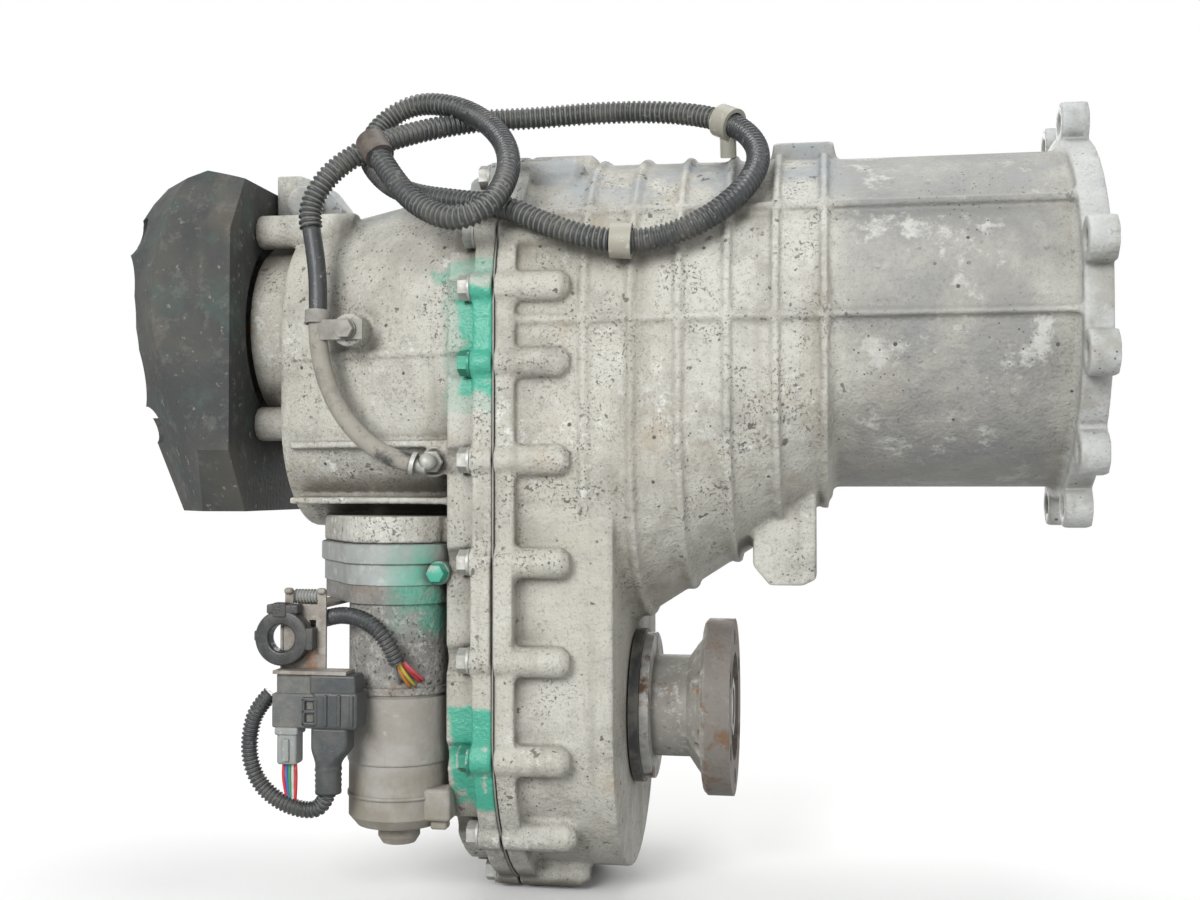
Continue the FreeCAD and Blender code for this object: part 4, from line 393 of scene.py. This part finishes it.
def servo_casting(name="servo_casting", tone=(0.165, 0.16, 0.148), speckle=0.9):
    """Rough dark die casting with pale speckles."""
    made = Finish(name, tone, 0.78)
    made.paint(made.noise(18, 0.42, 0.62, detail=6), tuple(1.5 * x for x in tone))
    made.paint(made.both(made.noise(230, 0.5, 0.6, rough=0.8), speckle), (0.36, 0.355, 0.33), 0.85)
    made.paint(made.both(made.noise(30, 0.52, 0.72), 0.7), (0.20, 0.165, 0.125), 0.85)
    made.paint(made.both(made.noise(480, 0.56, 0.64), speckle), (0.045, 0.042, 0.036), 0.8)
    overspray(made)
    # Grime and painted shade: darker in corners and under edges, by occlusion.
    made.paint(made.both(made.corners(0.006), 0.8), (0.08, 0.075, 0.065), 0.85)
    made.relief(300.0, 6.0, 0.0012)
    return made.done()


def plate_casting():
    """Smooth grey die casting of the servo's gear housing, stained, with overspray."""
    made = Finish("plate_casting", (0.31, 0.335, 0.325), 0.6)
    made.paint(made.noise(20, 0.42, 0.66, detail=7), (0.23, 0.235, 0.22))
    made.paint(made.both(made.noise(120, 0.54, 0.64, rough=0.7), 0.6), (0.42, 0.43, 0.41))
    runs = made.noise(60, 0.55, 0.7, stretch=(1, 1, 0.15))
    made.paint(made.both(runs, 0.5), (0.16, 0.15, 0.13), 0.8)
    overspray(made, 0.012)
    # Grime and painted shade: darker in corners and under edges, by occlusion.
    made.paint(made.both(made.corners(0.008), 0.85), (0.10, 0.095, 0.08), 0.85)
    made.relief(260.0, 5.0, 0.0004)
    return made.done()


def servo_paint():
    """Grey steel can, dull and stained, with tan grime that runs down it."""
    made = Finish("servo_paint", (0.315, 0.305, 0.28), 0.6, 0.05)
    made.paint(made.noise(26, 0.42, 0.66, detail=7), (0.25, 0.235, 0.205), 0.7)
    made.paint(made.both(made.noise(60, 0.48, 0.7, stretch=(1, 1, 0.12)), 0.6), (0.20, 0.18, 0.15), 0.8)
    made.paint(made.both(made.noise(190, 0.58, 0.68, rough=0.7), 0.6), (0.38, 0.375, 0.35), 0.8)
    low_grime = made.zone((None, None, None), (None, None, -0.268), 0.006)
    made.paint(made.both(low_grime, made.noise(40, 0.3, 0.6)), (0.235, 0.215, 0.175), 0.8)
    # Grime and painted shade: darker in corners and under edges, by occlusion.
    made.paint(made.both(made.corners(0.006), 0.7), (0.11, 0.10, 0.085), 0.8)
    made.relief(350.0, 4.0, 0.0004)
    return made.done()


def ribbed_plastic():
    """Black conduit plastic, shiny in its grooves, with grey dust caked on its crests."""
    made = Finish("conduit_plastic", (0.022, 0.026, 0.028), 0.38)
    dusty = made.noise(14, 0.34, 0.6, detail=4)
    made.paint(made.both(made.edges(0.49, 0.53), dusty), (0.185, 0.18, 0.16), 0.8)
    made.paint(made.both(made.noise(30, 0.5, 0.7, detail=6), 0.45), (0.13, 0.125, 0.11), 0.75)
    made.paint(made.both(made.noise(300, 0.58, 0.68), 0.5), (0.26, 0.255, 0.23), 0.85)
    made.relief(600.0, 3.0, 0.0002)
    return made.done()


def hose_rubber():
    """Black rubber, with tan road dust caked on below."""
    made = Finish("hose_rubber", (0.028, 0.030, 0.032), 0.45)
    low = made.zone((None, None, None), (None, None, -0.002), 0.004)
    made.paint(made.both(low, made.noise(55, 0.3, 0.46, detail=7)), (0.27, 0.255, 0.22), 0.85)
    made.paint(made.both(low, made.noise(75, 0.55, 0.66, detail=7)), (0.085, 0.082, 0.075), 0.8)
    made.paint(made.both(made.noise(60, 0.5, 0.66, rough=0.7), 0.4), (0.12, 0.115, 0.10), 0.85)
    made.paint(made.both(made.noise(260, 0.6, 0.68), 0.5), (0.30, 0.29, 0.26), 0.85)
    made.relief(500.0, 4.0, 0.0003)
    return made.done()


def wire_cover(name, colour):
    """Coloured insulation of a wire, a little dirty."""
    made = Finish(name, colour, 0.45)
    made.paint(made.both(made.noise(240, 0.5, 0.66), 0.5), tuple(0.5 * x for x in colour), 0.7)
    return made.done()


def dress(material, *names):
    """Gives a CAD node, or a piece, that finish in every slot."""
    for name in names:
        item = node[name] if isinstance(name, str) else name
        item.data.materials.clear()
        item.data.materials.append(material)


def evaluated(made):
    """The mesh of an object with its modifiers applied; the object goes."""
    seen = bpy.context.evaluated_depsgraph_get()
    mesh = bpy.data.meshes.new_from_object(made.evaluated_get(seen))
    bpy.data.objects.remove(made)
    return mesh


def soft_casting(name, cad_name, cell, share, material):
    """The casting of a CAD node with soft sand-cast edges: its merged copy is rebuilt in even
    cells, smoothed, and thinned to a share of its faces."""
    shell = bmesh.new()
    shell.from_mesh(node[cad_name].data)
    bmesh.ops.remove_doubles(shell, verts=shell.verts, dist=2e-6)
    mesh = bpy.data.meshes.new(name)
    shell.to_mesh(mesh)
    shell.free()
    made = linked(name + "_cells", mesh)
    cells = made.modifiers.new("cells", "REMESH")
    cells.mode, cells.voxel_size, cells.use_smooth_shade = "VOXEL", cell, True
    soft = made.modifiers.new("soft", "SMOOTH")
    soft.factor, soft.iterations = 0.5, 3
    thin = made.modifiers.new("thin", "DECIMATE")
    thin.ratio = share
    mesh = evaluated(made)
    mesh.polygons.foreach_set("use_smooth", np.full(len(mesh.polygons), True))
    casting = piece(name, mesh)
    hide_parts(cad_name)
    dress(material, casting)


def dress_nodes():
    """The two castings with soft edges, and a finish for every other CAD node."""
    soft_casting("front_casting", "front_case", cell=0.0017, share=0.28,
                 material=cast_aluminium("case_casting", dark_front=True))
    soft_casting("rear_casting", "rear_cover", cell=0.0015, share=0.35,
                 material=cast_aluminium("cover_casting", green=COVER_GREEN))
    dress(steel("daubed_bolts", (0.41, 0.41, 0.38), 0, 0.5, 0.9, 0.3, BOLT_GREEN), "case_bolts")
    dress(steel("zinc_plate", (0.41, 0.41, 0.38), 0, 0.5, 0.9, 0.3), "damper_bolts", "oil_plugs",
          "front_flange_nut", "rear_flange_nut", "breather_nozzle")
    dress(steel("dull_zinc", (0.27, 0.262, 0.235), 0, 0.65, 0.9, 0.1), "clip_bolt", "hose_clip")
    dress(steel("bright_steel", (0.52, 0.52, 0.51), 0, 0.3),
          "input_shaft", "main_shaft", "ring_gear", "planet_carrier", "planet_gear_1", "planet_gear_2",
          "planet_gear_3", "range_sleeve", "shift_rail", "range_cam", "clutch_drum", "pressure_plate",
          "drive_sprocket", "driven_sprocket", "front_output_shaft", "input_bearing", "front_bearing",
          "front_end_bearing", "rear_bearing", "oil_pump_rotor")
    dress(steel("chain_steel", (0.34, 0.34, 0.35), 0, 0.35), "drive_chain")
    dress(steel("worn_brass", (0.55, 0.42, 0.2), 0, 0.35), "shift_fork")
    dress(steel("pump_aluminium", (0.5, 0.5, 0.48), 0, 0.45), "oil_pump")
    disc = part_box("front_output_flange")[1].x
    dress(forging("front_forging", disc + 0.001, disc - 0.016), "front_output_flange")
    dress(forging("rear_forging", 0, -1), "rear_output_flange")
    dress(steel("ring_steel", (0.42, 0.42, 0.40), 0.25, 0.5, 0.6, 0.4), "front_dust_ring")
    dress(plastic("seal_rubber", (0.035, 0.036, 0.037), dusty=0.5),
          "front_seal", "input_seal", "rear_seal")
    dress(plastic("gasket_paper", (0.20, 0.195, 0.175)), "case_gasket")
    dress(plastic("friction_lining", (0.16, 0.12, 0.08)), "clutch_discs")
    dress(painted_damper(), "rear_damper")
    dress(servo_casting(), "servo_body")
    dress(plate_casting(), "servo_gear_housing")
    dress(servo_casting("servo_plate_casting", (0.15, 0.145, 0.135), 0.25), "servo_base_plate")
    dress(servo_paint(), "servo_can", "servo_end_cap")
    dress(steel("motor_iron", (0.3, 0.25, 0.2), 0.2, 0.5), "servo_armature")
    dress(bracket_steel(), "wiring_bracket")
    dress(plastic("gear_plastic", (0.05, 0.055, 0.057)), "servo_output_gear")
    dress(plastic("clip_nylon", (0.30, 0.29, 0.24), dusty=0.4), "conduit_clips")
    dress(plastic("cap_plastic", (0.05, 0.035, 0.027), dusty=0.3), "conduit_end_cap")


COVER_GREEN = [
    ((-0.367, None, -0.050), (-0.335, -0.04, 0.012), 1.0),
    ((-0.385, None, 0.021), (-0.341, -0.04, 0.030), 0.45),
    ((-0.378, None, -0.060), (-0.335, -0.04, 0.022), 0.25),
    ((-0.372, None, -0.290), (-0.337, -0.04, -0.232), 1.0),
]
BOLT_GREEN = [
    ((-0.40, None, -0.050), (-0.33, -0.04, -0.018)),
    ((-0.363, None, -0.29), (-0.33, -0.04, -0.23)),
]

# ---------------------------------------------------------------- cords

MM = 0.001
HOSE_WIDTH = 11 * MM
HOSE = [(-391, -113, -89), (-403, -114, -86), (-420, -112, -76), (-437, -106, -59), (-450, -99, -36),
        (-455, -97, -12), (-455, -95, 10), (-457, -93, 34), (-461, -92, 54)]
CONDUIT = [(-461.1, -92, 54.4), (-463, -91.5, 64), (-457, -90, 79), (-446, -86, 93), (-427, -77, 107),
           (-402, -60, 119), (-370, -44, 128), (-335, -36, 130), (-296, -32, 133), (-256, -32, 132),
           (-224, -38, 126), (-201, -54, 113), (-190, -76, 91), (-199, -97, 67), (-222, -109, 47),
           (-252, -113, 36), (-284, -114, 38), (-313, -113, 48), (-337, -109, 60), (-368, -103, 65),
           (-396, -94, 71), (-419, -79, 83), (-437, -62, 104), (-434, -48, 126), (-412, -44, 141),
           (-384, -50, 137), (-360, -64, 123), (-341, -86, 102), (-333, -112, 78), (-340, -130, 56),
           (-360, -133, 47), (-384, -125, 58), (-402, -115, 76), (-413, -107, 92)]
PLUG_LOOP = [(-473, -121, -223), (-481, -121.5, -231), (-485, -122, -245), (-485, -122.5, -260),
             (-479, -123, -274), (-467, -123, -284), (-452, -122.5, -289), (-440, -122.4, -287),
             (-437, -122.3, -277)]
MOTOR_CONDUIT = [(-454, -105, -183), (-440, -109, -178), (-426, -116, -177), (-412, -121, -181),
                 (-402, -122, -191), (-397, -119, -204)]


def route_line(name, route, spacing):
    """Points an even spacing apart along the NURBS line through a route's control points."""
    curve = bpy.data.curves.new(name + "_line", "CURVE")
    curve.dimensions = "3D"
    spline = curve.splines.new("NURBS")
    spline.points.add(len(route) - 1)
    places = np.hstack([np.array(route) * MM, np.ones((len(route), 1))])
    spline.points.foreach_set("co", places.ravel())
    spline.order_u = 3
    spline.use_endpoint_u = True
    spline.resolution_u = 24
    carrier = linked(name + "_line", curve)
    bpy.context.view_layer.update()
    mesh = bpy.data.meshes.new_from_object(carrier)
    line = np.empty(len(mesh.vertices) * 3)
    mesh.vertices.foreach_get("co", line)
    line = line.reshape(-1, 3)
    bpy.data.objects.remove(carrier)
    bpy.data.meshes.remove(mesh)
    reach = np.concatenate([[0], np.cumsum(np.linalg.norm(np.diff(line, axis=0), axis=1))])
    keep = np.concatenate([[True], np.diff(reach) > 1e-9])
    line, reach = line[keep], reach[keep]
    count = max(int(round(reach[-1] / spacing)), 6)
    at = np.linspace(0, reach[-1], count + 1)
    return np.stack([np.interp(at, reach, line[:, axis]) for axis in range(3)], 1), at


def tube(line, radius, sides=20):
    """Points of a tube of that radius, one number or one for each station, round a line; its
    ends close in a point. Each ring stands square to the line, and the rings turn with it without
    twisting."""
    ahead = np.gradient(line, axis=0)
    ahead /= np.linalg.norm(ahead, axis=1)[:, None]
    side = np.cross(ahead[0], (0.3, 0.2, 1.0))
    frames = []
    for way in ahead:
        side = side - way * (side @ way)
        side = side / np.linalg.norm(side)
        frames.append(side)
    side = np.array(frames)
    up = np.cross(ahead, side)
    turn = np.linspace(0, 2 * math.pi, sides, endpoint=False)
    radius = np.broadcast_to(radius, (len(line),))[:, None, None]
    ring = side[:, None] * np.cos(turn)[None, :, None] + up[:, None] * np.sin(turn)[None, :, None]
    shell = line[:, None] + ring * radius
    return np.concatenate([line[:1, None].repeat(sides, 1), shell, line[-1:, None].repeat(sides, 1)])


def tube_piece(name, line, radius, sides, material):
    """A piece in the shape of a tube round a line."""
    mesh = grid_mesh(name, tube(line, radius, sides), closed=True)
    made = piece(name, mesh)
    dress(material, made)
    return made


def ribs(at, radius, pitch, groove):
    """The radius of a ribbed tube: it steps between a crest and a groove once each pitch."""
    wave = np.cos(2 * math.pi * at / pitch)
    return radius - groove * (0.5 - 0.5 * np.clip(wave * 1.7, -1, 1))


def corrugated(name, route, radius, pitch, groove, material, **facts):
    """A ribbed conduit along a route."""
    line, at = route_line(name, route, pitch / 6)
    made = tube_piece(name, line, ribs(at, radius, pitch, groove), 20, material)
    return made


def make_cords():
    """The hose and the three conduits, each in place of its CAD node."""
    black = ribbed_plastic()
    conduit = corrugated("ribbed_breather_conduit", CONDUIT, 7 * MM, 3.2 * MM, 1.3 * MM, black,
                         far_end="fitting", stiffness="medium", lay="loose",
                         with_pieces=[node["conduit_end_cap"]])
    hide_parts("breather_conduit")
    line, at = route_line("hose", HOSE, 2 * MM)
    hose = tube_piece("rubber_breather_hose", line, HOSE_WIDTH / 2, 24, hose_rubber())
    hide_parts("breather_hose")
    plug = corrugated("ribbed_plug_conduit", PLUG_LOOP, 5 * MM, 2.4 * MM, 1 * MM, black,
                      far_end="object", stiffness="medium", lay="loose")
    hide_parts("plug_conduit")
    motor = corrugated("ribbed_motor_conduit", MOTOR_CONDUIT, 5 * MM, 2.4 * MM, 1 * MM, black,
                       far_end="bare", stiffness="medium", lay="loose")
    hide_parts("motor_conduit")


# ---------------------------------------------------------------- servo and wiring details


SECTION_SIDES = 32


def rounded_section(half, rounding):
    """Points round a rounded rectangle: in each direction the farthest corner of an inner
    rectangle, plus the rounding."""
    turn = (np.arange(SECTION_SIDES) + 0.5) * 2 * math.pi / SECTION_SIDES
    way = np.stack([np.cos(turn), np.sin(turn)], 1)
    return np.sign(way) * (np.array(half) - rounding) + rounding * way


def slab(low, high, soft, up=2):
    """A block in millimetres with soft edges: a rounded section carried along one axis, drawn in
    by a quarter round at both ends and closed there in a point."""
    low, high = np.array(low, float) * MM, np.array(high, float) * MM
    soft = soft * MM
    across = [axis for axis in range(3) if axis != up]
    middle, half = (low + high) / 2, (high - low)[across] / 2
    arc = np.linspace(0, math.pi / 2, 4)
    inset = np.concatenate([soft * (1 - np.sin(arc)), soft * (1 - np.sin(arc[::-1]))])
    place = np.concatenate([low[up] + soft * (1 - np.cos(arc)),
                            (high[up] - soft * (1 - np.cos(arc)))[::-1]])
    end = [np.zeros((SECTION_SIDES, 2))]
    rows = end + [rounded_section(half - draw, soft * 1.01 - draw * 0.98) for draw in inset] + end
    place = np.concatenate([place[:1], place, place[-1:]])
    points = np.empty((len(rows), SECTION_SIDES, 3))
    points[:, :, across] = np.array(rows) + middle[across]
    points[:, :, up] = place[:, None]
    return points[::-1] if up != 1 else points


def turned(profile, centre, axis=2, sides=48):
    """A turned shape: a profile of (radius, place along the axis), in millimetres, spun round an
    axis through a point."""
    profile = np.array(profile, float) * MM
    turn = np.arange(sides) * 2 * math.pi / sides
    first, second = [other for other in range(3) if other != axis]
    points = np.empty((len(profile), sides, 3))
    points[:, :, first] = centre[0] * MM + profile[:, :1] * np.cos(turn)
    points[:, :, second] = centre[1] * MM + profile[:, :1] * np.sin(turn)
    points[:, :, axis] = profile[:, 1:]
    return points


def assembled(name, shells, slot, material, *replaced):
    """One piece of several closed shells, with its faces outwards."""
    joined = bmesh.new()
    for shell in shells:
        part = grid_mesh(name + "_shell", shell, closed=True)
        joined.from_mesh(part)
        bpy.data.meshes.remove(part)
    bmesh.ops.remove_doubles(joined, verts=joined.verts, dist=WELD)
    bmesh.ops.recalc_face_normals(joined, faces=joined.faces)
    mesh = bpy.data.meshes.new(name)
    joined.to_mesh(mesh)
    joined.free()
    made = piece(name, mesh)
    weighted = made.modifiers.new("weighted", "WEIGHTED_NORMAL")
    weighted.keep_sharp = True
    dress(material, made)
    if replaced:
        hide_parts(*replaced)
    return made


def bow(start, lift, end, count=12):
    """A parabola from one point to another, drawn towards a third."""
    t = np.linspace(0, 1, count)[:, None]
    start, lift, end = (np.array(point, float) * MM for point in (start, lift, end))
    return start * (1 - t) ** 2 + lift * 2 * t * (1 - t) + end * t ** 2


def wires(name, colours, starts, lifts, ends, radius):
    """Short insulated wires, each a bow from its start to its end."""
    for index, colour in enumerate(colours):
        line = bow(starts[index], lifts[index], ends[index])
        finish = wire_cover(name + "_cover_" + str(index + 1), colour)
        tube_piece(name + "_" + str(index + 1), line, radius * MM, 10, finish)


RED, PINK, YELLOW = (0.50, 0.03, 0.035), (0.55, 0.10, 0.12), (0.52, 0.42, 0.06)
ORANGE, BLUE, LEAF, WHITE = (0.50, 0.20, 0.04), (0.05, 0.12, 0.36), (0.04, 0.22, 0.10), (0.5, 0.5, 0.46)
GREY = (0.20, 0.21, 0.21)


def make_connector(dark, grey):
    """A connector in two tiers with ribs and a latch window, and its grey plug."""
    body = [slab((-467, -127, -223), (-443, -115, -210), 1.2),
            slab((-469, -129, -241), (-442, -115, -221), 1.4)]
    assembled("connector_body", body, "black_plastic", grey, "connector_block")
    cover = [slab((-446, -130, -221.5), (-418.5, -114, -210), 1.6),
             slab((-444, -131, -241), (-417, -114, -219.5), 2.2)]
    cover += [slab((x, -132.2, -239), (x + 2.4, -128, -221), 0.8) for x in (-437, -429, -421.5)]
    cover += [slab((-450, -131.6, z), (-441, -127, z + 2.2), 0.7) for z in (-225, -232, -239)]
    cover += [slab((x, -131.6, -239), (x + 2, -127, -223), 0.7) for x in (-450, -442.6)]
    assembled("connector_cover", cover, "black_plastic", dark)
    plug = [slab((-466, -129, -262), (-454, -117, -240.5), 1.8),
            slab((-467, -130, -245), (-453, -116, -240.5), 1.2),
            slab((-462, -130.6, -260), (-458, -127, -247), 0.9)]
    assembled("grey_plug", plug, "grey_plastic",
              plastic("plug_plastic", (0.235, 0.255, 0.25), dusty=0.5), "connector_plug")


BOOT_X, BOOT_Y, BOOT_TOP = -434.5, -122.3, -240.5
BOOT_LENGTH, BOOT_SHIFT = 38, 2.5


def make_boot(dark):
    """A boot: a rectangle under the connector that narrows to a ribbed round sleeve and shifts
    back as it narrows."""
    fall = np.linspace(0, 1, 26)
    narrow = np.clip((fall - 0.28) / 0.3, 0, 1)
    narrow = narrow * narrow * (3 - 2 * narrow)
    grooves = np.where(fall > 0.6, 0.5 * np.cos(fall * 80), 0)
    rows = [rounded_section(((11 - 3.6 * n + g) * MM, (7.4 + 0.1 * n + g) * MM), (2.5 + 4.6 * n) * MM)
            for n, g in zip(narrow, grooves)]
    end = [np.zeros((SECTION_SIDES, 2))]
    section = np.array(end + rows + end)
    fall, narrow = np.pad(fall, 1, "edge"), np.pad(narrow, 1, "edge")
    shell = np.empty((len(section), SECTION_SIDES, 3))
    shell[:, :, 0] = section[:, :, 0] + ((BOOT_X - BOOT_SHIFT * narrow) * MM)[:, None]
    shell[:, :, 1] = section[:, :, 1] + BOOT_Y * MM
    shell[:, :, 2] = ((BOOT_TOP - BOOT_LENGTH * fall) * MM)[:, None]
    assembled("connector_sleeve", [shell], "black_plastic", dark, "connector_boot")


def make_plug_wires():
    """The wires between the grey plug and its loop of conduit."""
    wires("plug_wire", (RED, BLUE, LEAF, WHITE, RED),
          [(x, -123, -261) for x in (-463.5, -461.7, -460, -458.2, -456.6)],
          [(x, -125, -271) for x in (-464.5, -462, -460, -457.5, -455)],
          [(x, -122.5, -284) for x in (-461, -460, -459, -458, -457)], 0.9)


def make_clip(dark):
    """A snap ring for a cable: a short barrel with two rims, its latch and its hinge."""
    barrel = [(8, -117), (8, -124.5), (9, -125.5), (15, -125.5), (16, -124.6), (16, -122.8),
              (14.6, -122), (14.6, -119.4), (16, -118.6), (16, -117.2), (15.4, -116.8), (8, -116.8)]
    shells = [turned(barrel + barrel[:1], (-465, -190), axis=1),
              slab((-474, -125.6, -176), (-455, -117, -170.6), 1.0),
              slab((-470, -126.4, -178), (-462, -119, -169.6), 0.9),
              slab((-451, -125, -197), (-446, -117, -184), 1.2),
              slab((-482, -124.4, -192), (-478, -118, -186), 1.0)]
    assembled("snap_ring", shells, "black_plastic", dark, "cable_clip")


def make_bracket_details():
    """Rolled lips on the bracket's prongs, a ribbed grey sleeve between them, and the wires that
    leave the motor's conduit."""
    lips = [slab((x, -119.6, -165), (x + 5, -115, -161.4), 1.5, up=0) for x in (-466, -446)]
    lips += [slab((-468.6, -118, -209), (-466.8, -115, -173), 0.8)]
    assembled("bracket_lips", lips, "zinc_steel", bpy.data.materials["bracket_steel"])
    at = np.linspace(0, 15 * MM, 80)
    line = np.stack([-461.5 * MM + at, np.full(80, -111 * MM), np.full(80, -166.8 * MM)], 1)
    tube_piece("ribbed_sleeve", line, ribs(at, 4.4 * MM, 1.9 * MM, 1 * MM), 20,
               plastic("sleeve_plastic", (0.22, 0.23, 0.225), (0.3, 0.29, 0.26), 0.5))
    wires("motor_wire", (RED, PINK, YELLOW, ORANGE, GREY),
          [(x, -118, z) for x, z in ((-396, -202), (-394.5, -202.5), (-396.5, -204), (-397.5, -204.5),
                                     (-399, -204))],
          [(x, -117, z) for x, z in ((-391, -208), (-389.5, -207.5), (-393, -211), (-395, -212),
                                     (-398.5, -212))],
          [(x, y, z) for x, y, z in ((-388, -104, -216), (-386.5, -103, -215), (-391, -105, -218),
                                     (-393.5, -106, -219), (-399, -108, -217))], 1.0)


SERVO_AXIS, CAM_AXIS = np.array([-408.0, -80.0]), np.array([-422.911, -31.228])
SERVO_RADIUS, CAM_RADIUS = 33, 47.8
SIDE_BOLT = (-378, -153)
FLANGE_SIDES = 120


def make_servo_details(casting, paint):
    """A flange round the top of the gear housing, a painted side bolt on its boss, and the can's
    ledge, side pad and small bolt."""
    turn = np.arange(FLANGE_SIDES) * 2 * math.pi / FLANGE_SIDES
    way = np.stack([np.cos(turn), np.sin(turn)], 1)
    farther = ((CAM_AXIS - SERVO_AXIS) @ way.T + CAM_RADIUS - SERVO_RADIUS > 0)[:, None]
    outline = np.where(farther, CAM_AXIS + CAM_RADIUS * way, SERVO_AXIS + SERVO_RADIUS * way)
    rim = [(-0.4, -136.4), (1.2, -136.4), (1.9, -137.2), (1.9, -147), (1.2, -147.8), (-0.4, -147.8)]
    band = np.empty((len(rim) + 1, FLANGE_SIDES, 3))
    for row, (out, height) in enumerate(rim + rim[:1]):
        band[row, :, :2] = (outline + out * way) * MM
        band[row, :, 2] = height * MM
    boss = [(0, -84), (7, -84), (7, -102), (6.4, -103), (0, -103)]
    assembled("servo_flange", [band, turned(boss, SIDE_BOLT, axis=1)], "servo_cast", casting)
    head = [(0, -103), (6.6, -103), (6.6, -104.2), (5.6, -104.8), (5.6, -109), (5, -109.8), (0, -109.8)]
    paint_green = Finish("green_paint", GREEN, 0.4)
    paint_green.paint(paint_green.both(paint_green.noise(90, 0.55, 0.62), 0.8), (0.30, 0.32, 0.29), 0.6)
    assembled("servo_side_bolt", [turned(head, SIDE_BOLT, axis=1, sides=6)], "zinc_steel",
              paint_green.done())
    ledge = [(29, -226), (30.9, -226), (30.9, -264), (30.4, -265.4), (29, -265.6)]
    lip = [(28, -283), (30.8, -283.4), (30.8, -285.4), (28, -286.2)]
    shells = [turned(ledge + ledge[:1], SERVO_AXIS), turned(lip + lip[:1], SERVO_AXIS),
              slab((-388, -101, -298), (-371, -84, -279), 2.4),
              slab((-384, -97, -303.5), (-374, -88, -297), 1.6)]
    assembled("can_trim", shells, "servo_can", paint)


def make_wiring():
    """The connector with its plug, boot and wires, the cable clip, and the trim of the bracket
    and the servo."""
    dark = plastic("connector_plastic", (0.035, 0.04, 0.042), (0.13, 0.125, 0.11), 0.35, 0.4)
    grey = plastic("dusty_plastic", (0.085, 0.09, 0.088), (0.2, 0.19, 0.165), 0.6, 0.6)
    make_connector(dark, grey)
    make_boot(dark)
    make_plug_wires()
    make_clip(plastic("clip_plastic", (0.02, 0.021, 0.022), (0.12, 0.115, 0.10), 0.3, 0.35))
    make_bracket_details()
    make_servo_details(bpy.data.materials["plate_casting"], bpy.data.materials["servo_paint"])


# ---------------------------------------------------------------- floor


def make_floor():
    """A pale floor that keeps the shadow near the object and is white further away. It throws
    back less light than it shows, so that undersides stay dark."""
    across = (-FLOOR_HALF, FLOOR_HALF)
    corners = np.array([[(x, y, FLOOR) for y in across] for x in across], float)
    floor = linked("floor", grid_mesh("floor", corners, smooth=False))
    pale = Finish("pale_floor", (0.84, 0.84, 0.84), 0.95)
    path = pale.tree.nodes.new("ShaderNodeLightPath")
    seen = pale.math("MAXIMUM", path.outputs["Is Camera Ray"], path.outputs["Is Glossy Ray"])
    pale.colour = pale.node("Mix", 2, {"data_type": "RGBA"}, n0=seen, n6=(0.32, 0.32, 0.32, 1),
                            n7=(0.84, 0.84, 0.84, 1))
    centred = pale.node("Mapping", 0, Vector=pale.place, Location=(0.3, 0, -FLOOR))
    away = pale.step(pale.node("VectorMath", "Value", {"operation": "LENGTH"}, n0=centred), 0.35, 1.3)
    white = pale.tree.nodes.new("ShaderNodeEmission")
    blend = pale.tree.nodes.new("ShaderNodeMixShader")
    pale.tree.links.new(pale.both(away, seen), blend.inputs[0])
    pale.tree.links.new(pale.shader.outputs[0], blend.inputs[1])
    pale.tree.links.new(white.outputs[0], blend.inputs[2])
    floor.data.materials.append(pale.done())
    pale.tree.links.new(blend.outputs[0], pale.tree.nodes["Material Output"].inputs["Surface"])


MIDDLE = (-0.28, 0, -0.1)

make_camera()
make_world()
make_lamp("key", (-0.75, -1.75, 0.55), MIDDLE, 0.8, 34)
make_lamp("fill", (1.1, -1.4, 0.3), (-0.2, 0, -0.1), 1.2, 11)
make_lamp("top", (-0.2, 0.3, 1.7), MIDDLE, 1.2, 16)
make_lamp("rear", (-0.5, 1.8, 0.4), MIDDLE, 1.2, 26)
make_floor()
make_cords()
dress_nodes()
make_wiring()
